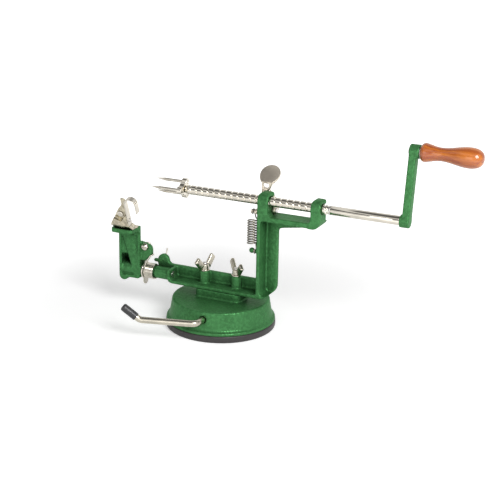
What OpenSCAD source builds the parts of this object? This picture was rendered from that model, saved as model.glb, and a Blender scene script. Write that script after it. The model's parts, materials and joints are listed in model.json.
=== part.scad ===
// Hand-cranked apple peeler on a suction base.
// Millimetres. X runs along the feed screw towards the crank, Y runs away from
// the user's side, Z is up. The origin is the centre of the suction ring's foot.

/* [Suction base] */
// Outside radius of the rubber suction ring
ring_r = 54; // [50:0.5:62]
// Height of the rubber suction ring
ring_h = 6.9; // [6:0.1:9]
// Height of the shell's flat top above the table
shell_top_z = 28.7; // [27:0.1:36]
// Wall thickness of the base shell
shell_wall = 2.6; // [2:0.1:3.4]
// Length of the plinth that carries the frame
plinth_l = 49; // [46:0.5:58]
// Width of the plinth
plinth_w = 24; // [24:0.5:30]
// Height of the plinth above the shell
plinth_h = 8.1; // [7:0.1:12]

/* [Suction lever] */
// Radius of the lever's rod
lever_rod_r = 3.15; // [2.5:0.05:3.5]
// Height of the rod's axis above the table
lever_z = 21; // [20:0.1:21.5]
// Length of the swinging arm of the lever
lever_reach = 65; // [50:1:80]
// Radius of the dark grip at the lever's end
lever_grip_r = 3.9; // [3.6:0.1:5]
// How far the cam lifts the pad
pad_lift = 3; // [2:0.1:3]

/* [Frame casting] */
// Depth of the casting's flanges
frame_depth = 21; // [18:0.5:26]
// Thickness of the rear web
web_t = 4.5; // [3:0.1:6]
// Thickness of the beam's floor and end wall
floor_t = 3.2; // [2.5:0.1:4]
// Height of the beam's rear wall above its underside
beam_h = 13.8; // [12:0.1:18]
// Length of the beam left of the column
beam_l = 96.7; // [85:0.5:110]
// Width of the column
column_w = 15; // [13:0.5:20]
// Height of the arm's top above the beam's underside
column_h = 83.2; // [76:0.2:100]
// Distance between the left faces of the two screw hooks
hook_pitch = 53.8; // [45:0.2:66]
// Width of the hook on the column
hook_w = 10.8; // [10:0.1:14]
// Width of the hook at the arm's end
end_hook_w = 9.6; // [8:0.1:14]
// Wall of the hooks around the screw
hook_wall = 3.4; // [2.6:0.1:5]

/* [Frame studs] */
// Distance between the two studs
stud_pitch = 34.5; // [32:0.5:38]
// Radius of the studs
stud_r = 2.5; // [2:0.05:3]
// Radius of the bosses around the studs
boss_r = 5.2; // [4.5:0.1:6]
// Height of the bosses above the beam's underside
boss_h = 15.9; // [14.5:0.1:20]

/* [Feed screw] */
// Radius over the screw's thread
thread_r = 4.65; // [4:0.05:5.5]
// Depth of the thread
thread_depth = 0.85; // [0.7:0.05:1.2]
// Feed of the screw in one turn
thread_pitch = 6.35; // [5:0.05:8]
// Turns of thread
thread_turns = 23; // [18:1:28]
// Radius of the plain shaft
shaft_r = 4.4; // [3.8:0.05:4.6]
// Length of the plain shaft up to the crank
shaft_l = 66.7; // [50:0.1:90]
// Height of the screw's axis above the arm's top
screw_rise = 13.5; // [13:0.1:16]
// Radial clearance between the screw and its hooks
screw_clearance = 0.35; // [0.3:0.05:0.6]

/* [Fork] */
// Radius of the circle that the prongs stand on
prong_circle_r = 7; // [6:0.1:9]
// Length of the prongs
prong_l = 29; // [16:0.5:32]
// Thickness of the fork's plate
fork_plate_t = 5; // [3:0.1:6]

/* [Crank and grip] */
// Distance from the screw's axis to the grip's axis
crank_reach = 63.4; // [45:0.2:90]
// Angle of the crank away from upright
crank_angle = 9.4; // [0:0.1:30]
// Width of the crank's bar
crank_bar_w = 10; // [8:0.1:12]
// Thickness of the crank's bar
crank_bar_t = 6.9; // [5:0.1:8]
// Length of the wooden grip
grip_l = 56.6; // [50:0.2:80]
// Radius of the rod that the grip turns on
grip_axle_r = 2.5; // [2:0.05:3]

/* [Quick release] */
// Thickness of the release lever's plate
release_t = 2.6; // [2:0.1:3]
// Radius of the release lever's pivot pin
release_pin_r = 2; // [1.5:0.05:2.2]
// Width of the thumb paddle
paddle_w = 20; // [16:0.5:24]
// Length of the thumb paddle
paddle_l = 20.7; // [18:0.1:24]
// Lean of the thumb paddle
paddle_lean = 50; // [20:1:60]
// Turns of the release spring
release_spring_turns = 10; // [8:1:12]

/* [Peeling arm] */
// Radius of the arm's pivot pin
arm_pin_r = 3; // [2.5:0.05:3.5]
// Height of the arm's pivot above the beam's underside
arm_pivot_rise = 6.7; // [6.2:0.1:8]
// Width of the arm's panel
arm_w = 25; // [21:0.5:30]
// Height of the arm's pad above its pivot
arm_h = 47; // [40:0.5:60]
// Reach of the pad in front of the panel
pad_reach = 15.5; // [14:0.5:24]
// Thickness of the pad at the arm's top
pad_t = 4.6; // [3.5:0.1:6]
// Turns of the arm's torsion spring
arm_spring_turns = 6; // [4:1:6]

/* [Peeling head] */
// Thickness of the blade holder's sheet
holder_t = 1.2; // [1:0.1:1.6]
// Forward lean of the blade holder
holder_lean = 20; // [10:1:30]
// Outside width of the blade's loop
blade_w = 12.6; // [10:0.1:16]
// Thickness of the blade
blade_t = 0.9; // [0.6:0.1:1.2]
// Depth of the blade's strip
blade_depth = 6; // [4:0.1:8]

/* [Hidden] */
$fn = 64;

GREEN = "#3b7d48";
NICKEL = "#c8bfb0";
STEEL = "#b4b4b2";
RUBBER = "#4a4548";
DARK = "#3c3c3e";
WOOD = "#c8702f";

turn_fit = 0.05;
press_fit = 0.02;
part_gap = 0.3;
far = 400;

// Suction base
flange_r = ring_r - 0.4;
flange_t = 3;
wall_foot_r = ring_r - 3.5;
rim_r = ring_r - 6;
membrane_z = 2.2;
membrane_t = 2.2;

// Frame
frame_z = shell_top_z + plinth_h;
front_y = -12;
rear_y = front_y + frame_depth;
web_y = rear_y - web_t;
column_x = 42.2;
beam_x = column_x - beam_l;
column_end_x = column_x + column_w;
beam_top_z = frame_z + beam_h;
arm_top_z = frame_z + column_h;
arm_flange_t = 5;
column_flange_t = 3.3;
end_hook_x = column_x + hook_pitch;
arm_end_x = end_hook_x + end_hook_w;
boss_top_z = frame_z + boss_h;
stud_mid_x = -0.75;
stud_xs = [stud_mid_x - stud_pitch / 2, stud_mid_x + stud_pitch / 2];

// Screw
screw_y = -4;
screw_z = arm_top_z + screw_rise;
hook_bore_r = thread_r + screw_clearance;
hook_r = hook_bore_r + hook_wall;
jaw_y = 5;
mouth_floor_z = screw_z - 6.5;
mouth_roof_z = screw_z + 3.1;
thread_start_x = -36;
thread_lead_in = 0.9;
thread_end_x = thread_start_x + thread_turns * thread_pitch + 2 * thread_lead_in;
root_r = thread_r - thread_depth;
thread_slack = 0.3;
neck_r = root_r - 0.4;
neck_l = 2;
plain_start_x = thread_end_x + neck_l;
hub_x = plain_start_x + shaft_l;
hub_l = 9;
hub_depth = 7.4;
hub_r_crank = shaft_r + 1.6;
fork_x = thread_start_x - fork_plate_t - 1.2;
journal_r = 3;
prong_r = 1.5;
lobe_angles = [60, 180, 300];

// Studs
washer_t = 1;
washer_r = 4.9;
nut_z = boss_top_z + washer_t;
nut_h = 5.6;
stud_top_z = nut_z + nut_h + 1.6;
stud_head_h = 2.6;
stud_head_r = 4.8;

// Lever and cam
lever_x = 4.5;
cam_throw = pad_lift / 2;
cam_r = lever_rod_r + cam_throw + 0.35;
cam_l = 8;
bearing_t = 4;
bearing_y = 13;
yoke_gap = 0.5;
yoke_t = 2;
yoke_bridge_t = 1.6;
yoke_w = 11;
yoke_bridge_z = lever_z - cam_throw + cam_r + yoke_gap;
yoke_plate_r = 24;
yoke_plate_z = membrane_z + membrane_t + part_gap;
clip_t = 1;

// Quick release
pivot_y = 1.2;
pivot_z = arm_top_z + 3.7;
plate_y = jaw_y + 1;
ear_gap = 0.5;
ear_foot_r = 3.2;
left_ear_x = column_x - ear_gap - release_t;
right_ear_x = column_x + hook_w + ear_gap;
tail_y = -9;
tail_z = pivot_z - 0.6;
tail_peg_r = 1.5;
tail_peg_l = 3.6;
spring_axis_x = left_ear_x - 2.45;
spring_wire_r = 0.6;
spring_r = 4.6;
spring_pitch = 2.45;
spring_bottom_z = frame_z + 54;
spring_top_z = spring_bottom_z + release_spring_turns * spring_pitch;
peg_z = spring_bottom_z - 6.4;
nut_block_z = mouth_floor_z + 2.1;
nut_block_h = mouth_roof_z - mouth_floor_z - 4;
nut_rear_y = plate_y;
nut_front_y = screw_y + thread_r - 2.1;

// Peeling arm
arm_pivot_y = -4;
arm_pivot_z = frame_z + arm_pivot_rise;
hub_end_x = beam_x - 15.7;
hub_r = 6.1;
sleeve_r = 5.9;
coil_r = 7.2;
coil_wire_r = 0.75;
coil_pitch = 1.56;
coil_end_x = hub_end_x - 0.3 - coil_wire_r;
coil_start_x = coil_end_x - arm_spring_turns * coil_pitch;
latch_t = 1.6;
latch_x = coil_start_x - coil_wire_r - part_gap - latch_t;
arm_right_x = latch_x - part_gap;
arm_left_x = arm_right_x - arm_w;
arm_bottom_z = arm_pivot_z - 11.5;
arm_top_face_z = arm_pivot_z + arm_h;
arm_front_y = arm_pivot_y - 8;
arm_rear_y = arm_pivot_y + 6;
panel_rear_y = arm_front_y + 3.6;
panel_right_x = arm_right_x - 1.3;
pad_front_y = arm_front_y - pad_reach;
border_t = 2.8;
lug_x = arm_right_x + 12;
lug_y0 = coil_y_front() + 0.4;
lug_t = 5;
adjuster_x = arm_right_x + 3.6;
adjuster_r = 2;
adjuster_z = arm_pivot_z + 29.6;

// Peeling head
holder_y = pad_front_y - 1;
holder_l = 17;
holder_w = 21.2;
holder_lift = 3.7;
holder_x = arm_left_x + 2.5;
holder_z = arm_top_face_z;
ear_right_x = holder_x + 24;
blade_x = ear_right_x + 0.15 + blade_w / 2;
blade_top = 42.5;
blade_foot = 11;
blade_free_end = 26.5;
rivet_r = 1.1;
rivet_s = 16;
holder_screw_r = 1.9;

function coil_y_front() = arm_pivot_y - coil_r + coil_wire_r;

// ---------------------------------------------------------------- helpers

module along_x(x0, x1) {
    translate([x0, 0, 0]) rotate([90, 0, 90]) linear_extrude(x1 - x0) children();
}

module along_y(y0, y1) {
    translate([0, y1, 0]) rotate([90, 0, 0]) linear_extrude(y1 - y0) children();
}

module bar_x(x0, x1, r) {
    translate([x0, 0, 0]) rotate([0, 90, 0]) cylinder(h = x1 - x0, r = r);
}

module bar_y(y0, y1, r) {
    translate([0, y0, 0]) rotate([-90, 0, 0]) cylinder(h = y1 - y0, r = r);
}

module box2(x0, y0, x1, y1) {
    translate([x0, y0]) square([x1 - x0, y1 - y0]);
}

// A rectangle with its own radius at each corner, from lower left anticlockwise.
module rounded2(x0, y0, x1, y1, rs) {
    difference() {
        box2(x0, y0, x1, y1);
        corner_cut(x0, y0, rs[0], 0);
        corner_cut(x1, y0, rs[1], 90);
        corner_cut(x1, y1, rs[2], 180);
        corner_cut(x0, y1, rs[3], 270);
    }
}

// The piece between a right-angled corner and the arc that rounds or fillets it.
module corner_cut(x, y, r, angle) {
    if (r > 0) translate([x, y]) rotate(angle) difference() {
        translate([-0.01, -0.01]) square(r + 0.01);
        translate([r, r]) circle(r);
    }
}

function unit(v) = v / norm(v);
function tangent(p, i) = unit(p[min(i + 1, len(p) - 1)] - p[max(i - 1, 0)]);
function carried(u, t) = unit(u - (u * t) * t);

// A round wire along a list of points, its section carried without twist.
module wire(points, r, first_side, sides = 8) {
    n = len(points);
    ups = [for (i = 0, u = carried(first_side, tangent(points, 0)); i < n;
        i = i + 1, u = i < n ? carried(u, tangent(points, i)) : u) u];
    rings = [for (i = [0:n - 1]) let (t = tangent(points, i), u = ups[i], w = cross(t, u))
        for (k = [0:sides - 1]) points[i] + r * (cos(360 * k / sides) * u + sin(360 * k / sides) * w)];
    skin = [for (i = [0:n - 2]) for (k = [0:sides - 1])
        let (a = i * sides + k, b = i * sides + (k + 1) % sides) each [[a, a + sides, b], [b, a + sides, b + sides]]];
    ends = [[for (k = [0:sides - 1]) k], [for (k = [sides - 1:-1:0]) (n - 1) * sides + k]];
    polyhedron(rings, concat(skin, ends));
}

// ---------------------------------------------------------- suction base

module suction_pad() {
    foot = 6;
    color(RUBBER) rotate_extrude($fn = 96) polygon([
        [0, membrane_z], [ring_r - foot - 4, membrane_z], [ring_r - foot - 1.4, 0],
        [ring_r - 1.6, 0], [ring_r - 0.4, 0.5], [ring_r, 1.6],
        [ring_r, ring_h - 1], [ring_r - 0.5, ring_h],
        [ring_r - foot - 2, ring_h], [ring_r - foot - 2.6, membrane_z + membrane_t], [0, membrane_z + membrane_t]
    ]);
}

module shell_profile() {
    rim_round = 1.6;
    flare = 2.6;
    top = shell_top_z;
    flange_z = ring_h + flange_t;
    polygon([
        [0, ring_h], [flange_r, ring_h], each [for (a = [0:30:90])
            [flange_r - 1 + cos(a), flange_z - 1 + sin(a)]],
        each [for (a = [0:22.5:90])
            [wall_foot_r + flare * (1 - sin(a)), flange_z + flare * (1 - cos(a))]],
        each [for (a = [0:22.5:90])
            [rim_r - rim_round * (1 - cos(a)), top - rim_round * (1 - sin(a))]],
        [0, top]
    ]);
}

module shell_hollow() {
    polygon([
        [0, ring_h - 1], [wall_foot_r - shell_wall - 0.6, ring_h - 1],
        [wall_foot_r - shell_wall, ring_h + flange_t],
        [rim_r - shell_wall, shell_top_z - shell_wall - 2],
        [rim_r - shell_wall - 2, shell_top_z - shell_wall], [0, shell_top_z - shell_wall]
    ]);
}

module plinth() {
    r = 6;
    translate([0.5, 0, shell_top_z - 1]) linear_extrude(plinth_h + 1)
        rounded2(-plinth_l / 2, -plinth_w / 2, plinth_l / 2, plinth_w / 2, [r, r, r, r]);
}

module cam_bearing(y) {
    half = 6;
    roof = shell_top_z - shell_wall + 0.5;
    along_y(y - bearing_t / 2, y + bearing_t / 2) {
        box2(lever_x - half, lever_z, lever_x + half, roof);
        translate([lever_x, lever_z]) circle(half);
    }
}

// The pocket under the plinth that the rising yoke moves in.
module yoke_pocket() {
    half_x = yoke_w / 2 + 1;
    half_y = cam_l / 2 + yoke_t + 2;
    top = yoke_bridge_z + yoke_bridge_t + pad_lift + 0.6;
    translate([lever_x - half_x, -half_y, shell_top_z - shell_wall - 1])
        cube([2 * half_x, 2 * half_y, top - (shell_top_z - shell_wall - 1)]);
}

module base_shell() color(GREEN) difference() {
    union() {
        difference() {
            union() {
                rotate_extrude($fn = 96) shell_profile();
                plinth();
            }
            rotate_extrude($fn = 96) shell_hollow();
            yoke_pocket();
        }
        cam_bearing(-bearing_y);
        cam_bearing(bearing_y);
    }
    for (x = stud_xs) translate([x, 0, ring_h]) cylinder(h = frame_z, r = stud_r + 0.15);
    translate([lever_x, 0, lever_z]) bar_y(-bearing_y - bearing_t, bearing_y + bearing_t, lever_rod_r + turn_fit);
    translate([lever_x, 0, lever_z]) bar_y(-far, -bearing_y - bearing_t, lever_rod_r + part_gap);
}

// --------------------------------------------------------- suction lever

lever_bend_r = 7;
lever_swing = 16;
lever_rise = 37;
lever_out_y = -ring_r - 1.5;
lever_tip_bend_r = 8;
lever_inner_y = bearing_y + bearing_t / 2 + part_gap + clip_t + 1.2;
lever_turn = 90 - lever_swing;

// Moves its children to the end of the first bend, with +X along the swinging arm.
module on_lever_arm() {
    translate([lever_x, lever_out_y, lever_z])
        translate([-lever_bend_r, 0, 0]) rotate([0, 0, -lever_turn])
            translate([lever_bend_r, 0, 0]) rotate([0, 0, -90]) children();
}

// Moves its children to the end of the upward bend, with +X along the raised tip.
module on_lever_tip() {
    on_lever_arm() translate([lever_reach - 18, 0, lever_tip_bend_r])
        rotate([0, -lever_rise, 0]) translate([0, 0, -lever_tip_bend_r]) children();
}

lever_tip_l = 16.5;
bend_tube_r = lever_rod_r + 0.03;
lap = 0.3;

module lever_rod() color(NICKEL) difference() {
    union() {
        translate([lever_x, 0, lever_z]) bar_y(lever_out_y - lap, lever_inner_y, lever_rod_r);
        translate([lever_x - lever_bend_r, lever_out_y, lever_z]) rotate([0, 0, -lever_turn])
            rotate_extrude(angle = lever_turn) translate([lever_bend_r, 0]) circle(bend_tube_r);
        on_lever_arm() bar_x(-lap, lever_reach - 18 + lap, lever_rod_r);
        on_lever_arm() translate([lever_reach - 18, 0, lever_tip_bend_r]) rotate([90, 0, 0])
            rotate([0, 0, -90]) rotate_extrude(angle = lever_rise)
                translate([lever_tip_bend_r, 0]) circle(bend_tube_r);
        on_lever_tip() bar_x(-lap, lever_tip_l, lever_rod_r);
    }
    translate([lever_x, 0, lever_z]) difference() {
        clip_y = bearing_y + bearing_t / 2 + part_gap;
        bar_y(clip_y, clip_y + clip_t, lever_rod_r + 1);
        bar_y(clip_y - 1, clip_y + clip_t + 1, lever_rod_r - 0.6);
    }
}

module lever_cam() color(STEEL) translate([lever_x, 0, lever_z]) difference() {
    translate([0, 0, -cam_throw]) bar_y(-cam_l / 2, cam_l / 2, cam_r);
    bar_y(-cam_l, cam_l, lever_rod_r + press_fit);
}

module lever_clip() {
    y = bearing_y + bearing_t / 2 + part_gap;
    color(STEEL) translate([lever_x, 0, lever_z]) difference() {
        bar_y(y, y + clip_t, lever_rod_r + 1.8);
        bar_y(y - 1, y + clip_t + 1, lever_rod_r - 0.6);
    }
}

module lever_grip() {
    wall_end = 1.6;
    color(DARK) on_lever_tip() difference() {
        union() {
            bar_x(1.2, lever_tip_l + wall_end - 1.2, lever_grip_r);
            translate([lever_tip_l + wall_end - 1.2, 0, 0]) rotate([0, 90, 0])
                cylinder(h = 1.2, r1 = lever_grip_r, r2 = lever_grip_r - 1.2);
        }
        bar_x(0, lever_tip_l, lever_rod_r + press_fit);
    }
}

// The stirrup over the cam and the round plate that pulls the rubber up.
module lift_yoke() color(STEEL) {
    half = cam_l / 2 + 0.5;
    top = yoke_bridge_z + yoke_bridge_t;
    difference() {
        union() {
            translate([0, 0, yoke_plate_z]) cylinder(h = yoke_t, r = yoke_plate_r);
            for (side = [-1, 1]) along_y(min(side * half, side * (half + yoke_t)),
                max(side * half, side * (half + yoke_t)))
                box2(lever_x - yoke_w / 2, yoke_plate_z + yoke_t / 2, lever_x + yoke_w / 2, top);
            translate([lever_x - yoke_w / 2, -half - yoke_t, yoke_bridge_z])
                cube([yoke_w, 2 * (half + yoke_t), yoke_bridge_t]);
        }
        along_y(-far / 4, far / 4) {
            slot = lever_rod_r + 0.5;
            translate([lever_x, lever_z]) circle(slot);
            translate([lever_x, lever_z - pad_lift]) circle(slot);
            box2(lever_x - slot, lever_z - pad_lift, lever_x + slot, lever_z);
        }
    }
}

// ----------------------------------------------------------------- frame

module web_outline() {
    difference() {
        union() {
            rounded2(beam_x, frame_z, column_end_x, beam_top_z, [6, 12, 0, 0]);
            rounded2(column_x, frame_z, column_end_x, arm_top_z, [0, 12, 0, 0]);
            polygon([
                [column_end_x - 1, arm_top_z - 14.6], [arm_end_x - 9, arm_top_z - 8.2],
                [arm_end_x - 9, arm_top_z], [column_end_x - 1, arm_top_z]
            ]);
            translate([column_end_x, arm_top_z - 14.4]) mirror([0, 1]) corner_cut(0, -0.3, 4, 0);
            lug_outline();
        }
    }
}

// The lug left of the beam, behind the arm's pivot.
module lug_outline() {
    lug_r = 6;
    lug_top_z = frame_z + 22.8;
    cx = beam_x - 12.9;
    translate([cx, lug_top_z - lug_r]) circle(lug_r);
    box2(cx - lug_r, frame_z + 1.6, cx + lug_r, lug_top_z - lug_r);
    box2(cx, frame_z + 1.6, beam_x + 8, beam_top_z);
    translate([cx + lug_r, beam_top_z]) corner_cut(-0.2, -0.01, 4.5, 0);
}

module flange_outline() {
    difference() {
        union() {
            rounded2(beam_x, frame_z, column_end_x, beam_top_z, [6, 12, 0, 0]);
            box2(column_x, beam_top_z - 1, column_end_x, arm_top_z);
        }
        rounded2(beam_x + floor_t, frame_z + floor_t, column_x, beam_top_z + 0.01, [3, 3, 0, 0]);
        rounded2(column_x + column_flange_t, frame_z + floor_t, column_end_x + 20,
            arm_top_z - arm_flange_t, [5, 0, 0, 3]);
        box2(beam_x - 1, beam_top_z - 0.6, column_x, beam_top_z + 1);
    }
    difference() {
        rounded2(column_x, arm_top_z - arm_flange_t - 0.4, arm_end_x, arm_top_z, [0, 5, 0, 0]);
        rounded2(column_x + column_flange_t, arm_top_z - 20, end_hook_x, arm_top_z - arm_flange_t, [0, 0, 3, 3]);
    }
}

// One hook that the screw lies in, open to the rear.
module hook(x, w, foot_z) {
    difference() {
        along_x(x, x + w) difference() {
            union() {
                box2(front_y, foot_z, jaw_y, screw_z);
                translate([screw_y, screw_z]) circle(hook_r);
                box2(screw_y, screw_z, jaw_y, mouth_roof_z + 2.4);
                translate([jaw_y - 2.6, mouth_roof_z + 2.4]) circle(2.6);
                box2(screw_y, mouth_roof_z + 2, jaw_y - 2.6, mouth_roof_z + 5);
            }
            translate([screw_y, screw_z]) circle(hook_bore_r);
            polygon([
                [screw_y, screw_z - hook_bore_r + 0.6], [screw_y + 3.4, mouth_floor_z + 1.4],
                [jaw_y + 1, mouth_floor_z], [jaw_y + 9, mouth_floor_z], [jaw_y + 9, mouth_roof_z],
                [screw_y, mouth_roof_z]
            ]);
        }
        // the outer corners of the hook seen from the front
        along_y(front_y - 5, rear_y + 5) {
            corner_cut(x, screw_z + hook_r, 3, 270);
            corner_cut(x + w, screw_z + hook_r, 3, 180);
        }
    }
}

module hook_fillets() {
    r = 4;
    along_y(front_y, pivot_y - ear_foot_r - part_gap) translate([column_x + hook_w, arm_top_z])
        corner_cut(0, 0, r, 0);
    along_y(front_y, jaw_y) translate([end_hook_x, arm_top_z]) mirror([1, 0]) corner_cut(0, 0, r, 0);
}

// The peg on the column that holds the release spring's lower end.
module spring_peg() {
    ball_r = 2.8;
    translate([0, tail_y, peg_z]) {
        translate([spring_axis_x, 0, 0]) sphere(ball_r);
        bar_x(spring_axis_x, column_x + 1, 1.5);
        translate([column_x - 1.2, 0, 0]) rotate([0, 90, 0]) cylinder(h = 1.3, r1 = 1.5, r2 = 3.4);
    }
}

module frame_casting() color(GREEN) difference() {
    union() {
        along_y(web_y, rear_y) web_outline();
        along_y(front_y, rear_y) flange_outline();
        hook(column_x, hook_w, arm_top_z - 1);
        hook(end_hook_x, end_hook_w, arm_top_z - 1);
        hook_fillets();
        for (x = stud_xs) translate([x, 0, frame_z]) cylinder(h = boss_h, r = boss_r);
        translate([0, arm_pivot_y, arm_pivot_z]) bar_x(hub_end_x, beam_x + 1, hub_r);
        translate([0, web_y + 2.2, arm_pivot_z + 8.4]) {
            bar_x(beam_x - 22.4, beam_x - 14, 1.9);
            translate([beam_x - 22.4, 0, 0]) sphere(1.9);
        }
        spring_peg();
    }
    along_y(front_y - 1, rear_y + 1) corner_cut(arm_end_x, arm_top_z - arm_flange_t - 0.4, 7.5, 90);
    for (x = stud_xs) translate([x, 0, frame_z - 1]) cylinder(h = boss_h + 2, r = stud_r + 0.15);
    translate([0, arm_pivot_y, arm_pivot_z]) bar_x(hub_end_x - 1, beam_x + floor_t + 4, arm_pin_r);
    translate([0, pivot_y, pivot_z]) bar_x(column_x - 1, column_x + hook_w + 1, release_pin_r + press_fit);
}

module frame_studs() color(STEEL) for (x = stud_xs) translate([x, 0, 0]) {
    head_top = shell_top_z - shell_wall;
    translate([0, 0, head_top]) cylinder(h = stud_top_z - head_top - 0.6, r = stud_r);
    translate([0, 0, stud_top_z - 0.6]) cylinder(h = 0.6, r1 = stud_r, r2 = stud_r - 0.6);
    translate([0, 0, head_top - stud_head_h]) cylinder(h = stud_head_h, r = stud_head_r);
}

module washer(x) translate([x, 0, boss_top_z]) difference() {
    cylinder(h = washer_t, r = washer_r);
    translate([0, 0, -1]) cylinder(h = washer_t + 2, r = stud_r + 0.2);
}

module wing_nut(x, angle) translate([x, 0, nut_z]) rotate([0, 0, angle]) difference() {
    ear_t = 2.2;
    ear_flare = 24;
    union() {
        cylinder(h = nut_h - 1, r = 4.1);
        translate([0, 0, nut_h - 1]) cylinder(h = 1, r1 = 4.1, r2 = 3.3);
        for (side = [0, 180]) rotate([0, 0, side]) translate([2.8, 0, 1]) rotate([0, ear_flare, 0])
            along_y(-ear_t / 2, ear_t / 2) {
                rounded2(0, -0.6, 4.8, 11.8, [0, 2, 2.1, 2.1]);
            }
    }
    translate([0, 0, -5]) cylinder(h = 30, r = stud_r + turn_fit);
    translate([0, 0, -5]) cylinder(h = 5, r = 12);
}

module washer_left() color(NICKEL) washer(stud_xs[0]);
module washer_right() color(NICKEL) washer(stud_xs[1]);
module wing_nut_left() color(NICKEL) wing_nut(stud_xs[0], 78);
module wing_nut_right() color(NICKEL) wing_nut(stud_xs[1], 138);

// ------------------------------------------------------------ feed screw

// A threaded rod along Z as one closed skin. Each column of points is the thread's
// section, raised by its share of the pitch, and the last column meets the first one
// a whole turn up. slack widens the rod all over, for cutting a nut.
module threaded_rod(slack = 0) {
    columns = 16;
    side = slack / thread_pitch;
    places = [side, 0.14 - side, 0.28 - side, 0.86 + side];
    radii = [root_r, root_r, thread_r, thread_r];
    step = len(places);
    rows = (thread_turns - 1) * step + 1;
    length = thread_end_x - thread_start_x;

    function point(r, column, z) = let (a = 360 * column / columns) [r * cos(a), r * sin(a), z];
    function rise(i) = thread_lead_in + thread_pitch * (floor(i / step) + places[i % step]);
    function on_thread(c, i) = point(radii[i % step] + slack, c, rise(i) + thread_pitch * c / columns);

    foot = [for (c = [0:columns - 1]) point(root_r + slack, c, 0)];
    body = [for (c = [0:columns - 1]) for (i = [0:rows - 1]) on_thread(c, i)];
    last = [for (k = [1:step]) on_thread(columns, rows - 1 - step + k)];
    head = [for (c = [0:columns - 1]) point(root_r + slack, c, length)];

    last0 = columns + columns * rows;
    head0 = last0 + step;
    function row(c, i) = c < columns ? columns + c * rows + i
        : i + step < rows ? columns + i + step : last0 + i + step - rows;

    skin = [for (c = [0:columns - 1]) for (i = [0:rows - 2])
        each [[row(c, i), row(c, i + 1), row(c + 1, i)], [row(c + 1, i), row(c, i + 1), row(c + 1, i + 1)]]];
    foot_band = [for (c = [0:columns - 2])
        each [[c, row(c, 0), c + 1], [c + 1, row(c, 0), row(c + 1, 0)]]];
    foot_seam = let (d = row(columns - 1, 0))
        [[columns - 1, d, 0], [0, d, row(0, 0)], [row(0, 0), d, row(0, 1)], [row(0, 1), d, row(0, step)]];
    start_face = [[row(0, 1), row(0, 4), row(0, 3)], [row(0, 1), row(0, 3), row(0, 2)]];
    top = rows - 1;
    head_band = [for (c = [1:columns - 1]) let (after = (c + 1) % columns)
        each [[row(c, top), head0 + c, row(c + 1, top)], [row(c + 1, top), head0 + c, head0 + after]]];
    head_seam = let (b = row(1, top), q1 = last0, q4 = last0 + step - 1)
        [[row(0, top), q1, b], [q1, q4, b], [q4, head0, b], [head0, head0 + 1, b]];
    end_face = [[last0, last0 + 1, last0 + 2], [last0, last0 + 2, last0 + 3]];
    caps = [[for (c = [0:columns - 1]) c], [for (c = [columns - 1:-1:0]) head0 + c]];
    polyhedron(concat(foot, body, last, head),
        concat(skin, foot_band, foot_seam, start_face, head_band, head_seam, end_face, caps));
}

module on_screw_axis() {
    translate([0, screw_y, screw_z]) children();
}

module screw_thread(slack = 0) {
    on_screw_axis() translate([thread_start_x, 0, 0]) rotate([0, 90, 0]) threaded_rod(slack);
}

crank_pin_x = hub_x + 3;
crank_pin_r = 1.2;
crank_pin_y = -2.4;

module feed_screw() color(NICKEL) {
    screw_thread();
    on_screw_axis() {
        bar_x(fork_x - 0.8, thread_start_x + 0.5, journal_r);
        bar_x(thread_end_x - 0.5, plain_start_x + 0.5, neck_r);
        difference() {
            bar_x(plain_start_x, hub_x + hub_depth, shaft_r);
            rotate([-crank_angle, 0, 0]) translate([crank_pin_x, 0, 0])
                bar_y(crank_pin_y, 10, crank_pin_r + press_fit);
        }
    }
}

// The ring in the groove where the thread ends.
module stop_collar() color(STEEL) on_screw_axis() difference() {
    end_play = 0.15;
    bar_x(thread_end_x + end_play, plain_start_x - end_play, shaft_r);
    bar_x(thread_end_x - 1, plain_start_x + 1, neck_r + turn_fit);
}

module fork_plate() color(NICKEL) on_screw_axis() along_x(fork_x, fork_x + fork_plate_t) difference() {
    lobe_r = 3.7;
    union() {
        circle(6.2);
        for (a = lobe_angles) rotate(a) {
            translate([prong_circle_r, 0]) circle(lobe_r);
            translate([0, -lobe_r]) square([prong_circle_r, 2 * lobe_r]);
        }
    }
    circle(journal_r + press_fit);
    for (a = lobe_angles) rotate(a) translate([prong_circle_r, 0]) circle(prong_r + press_fit);
}

module fork_prongs() color(NICKEL) on_screw_axis() for (a = lobe_angles) rotate([a, 0, 0])
    translate([0, prong_circle_r, 0]) {
        point_l = 9;
        bar_x(fork_x - prong_l + point_l, fork_x + fork_plate_t, prong_r);
        translate([fork_x - prong_l + point_l, 0, 0]) rotate([0, -90, 0])
            cylinder(h = point_l, r1 = prong_r, r2 = 0.25);
    }

// ------------------------------------------------------- crank and grip

crank_left_x = hub_x + hub_l - crank_bar_t;
crank_right_x = hub_x + hub_l;
boss_face_x = crank_right_x + 2.6;
top_boss_r = crank_bar_w / 2 + 1.4;
axle_head_t = 1.1;
axle_head_r = grip_axle_r + 1.4;
grip_washer_t = 0.7;
grip_x = boss_face_x + grip_washer_t + part_gap;
axle_l = 34;

module on_crank() {
    on_screw_axis() rotate([-crank_angle, 0, 0]) children();
}

module on_grip() {
    on_crank() translate([0, 0, crank_reach]) children();
}

module crank_arm() color(GREEN) on_crank() difference() {
    union() {
        bar_x(hub_x, crank_right_x, hub_r_crank);
        along_x(crank_left_x, crank_right_x) {
            circle(hub_r_crank);
            box2(-crank_bar_w / 2, 0, crank_bar_w / 2, crank_reach);
        }
        translate([0, 0, crank_reach]) bar_x(crank_left_x, boss_face_x, top_boss_r);
    }
    bar_x(hub_x - 1, hub_x + hub_depth, shaft_r + turn_fit);
    translate([crank_pin_x, 0, 0]) bar_y(crank_pin_y, 10, crank_pin_r + press_fit);
    translate([0, 0, crank_reach]) bar_x(crank_left_x - 1, boss_face_x + 1, grip_axle_r + turn_fit);
}

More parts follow.
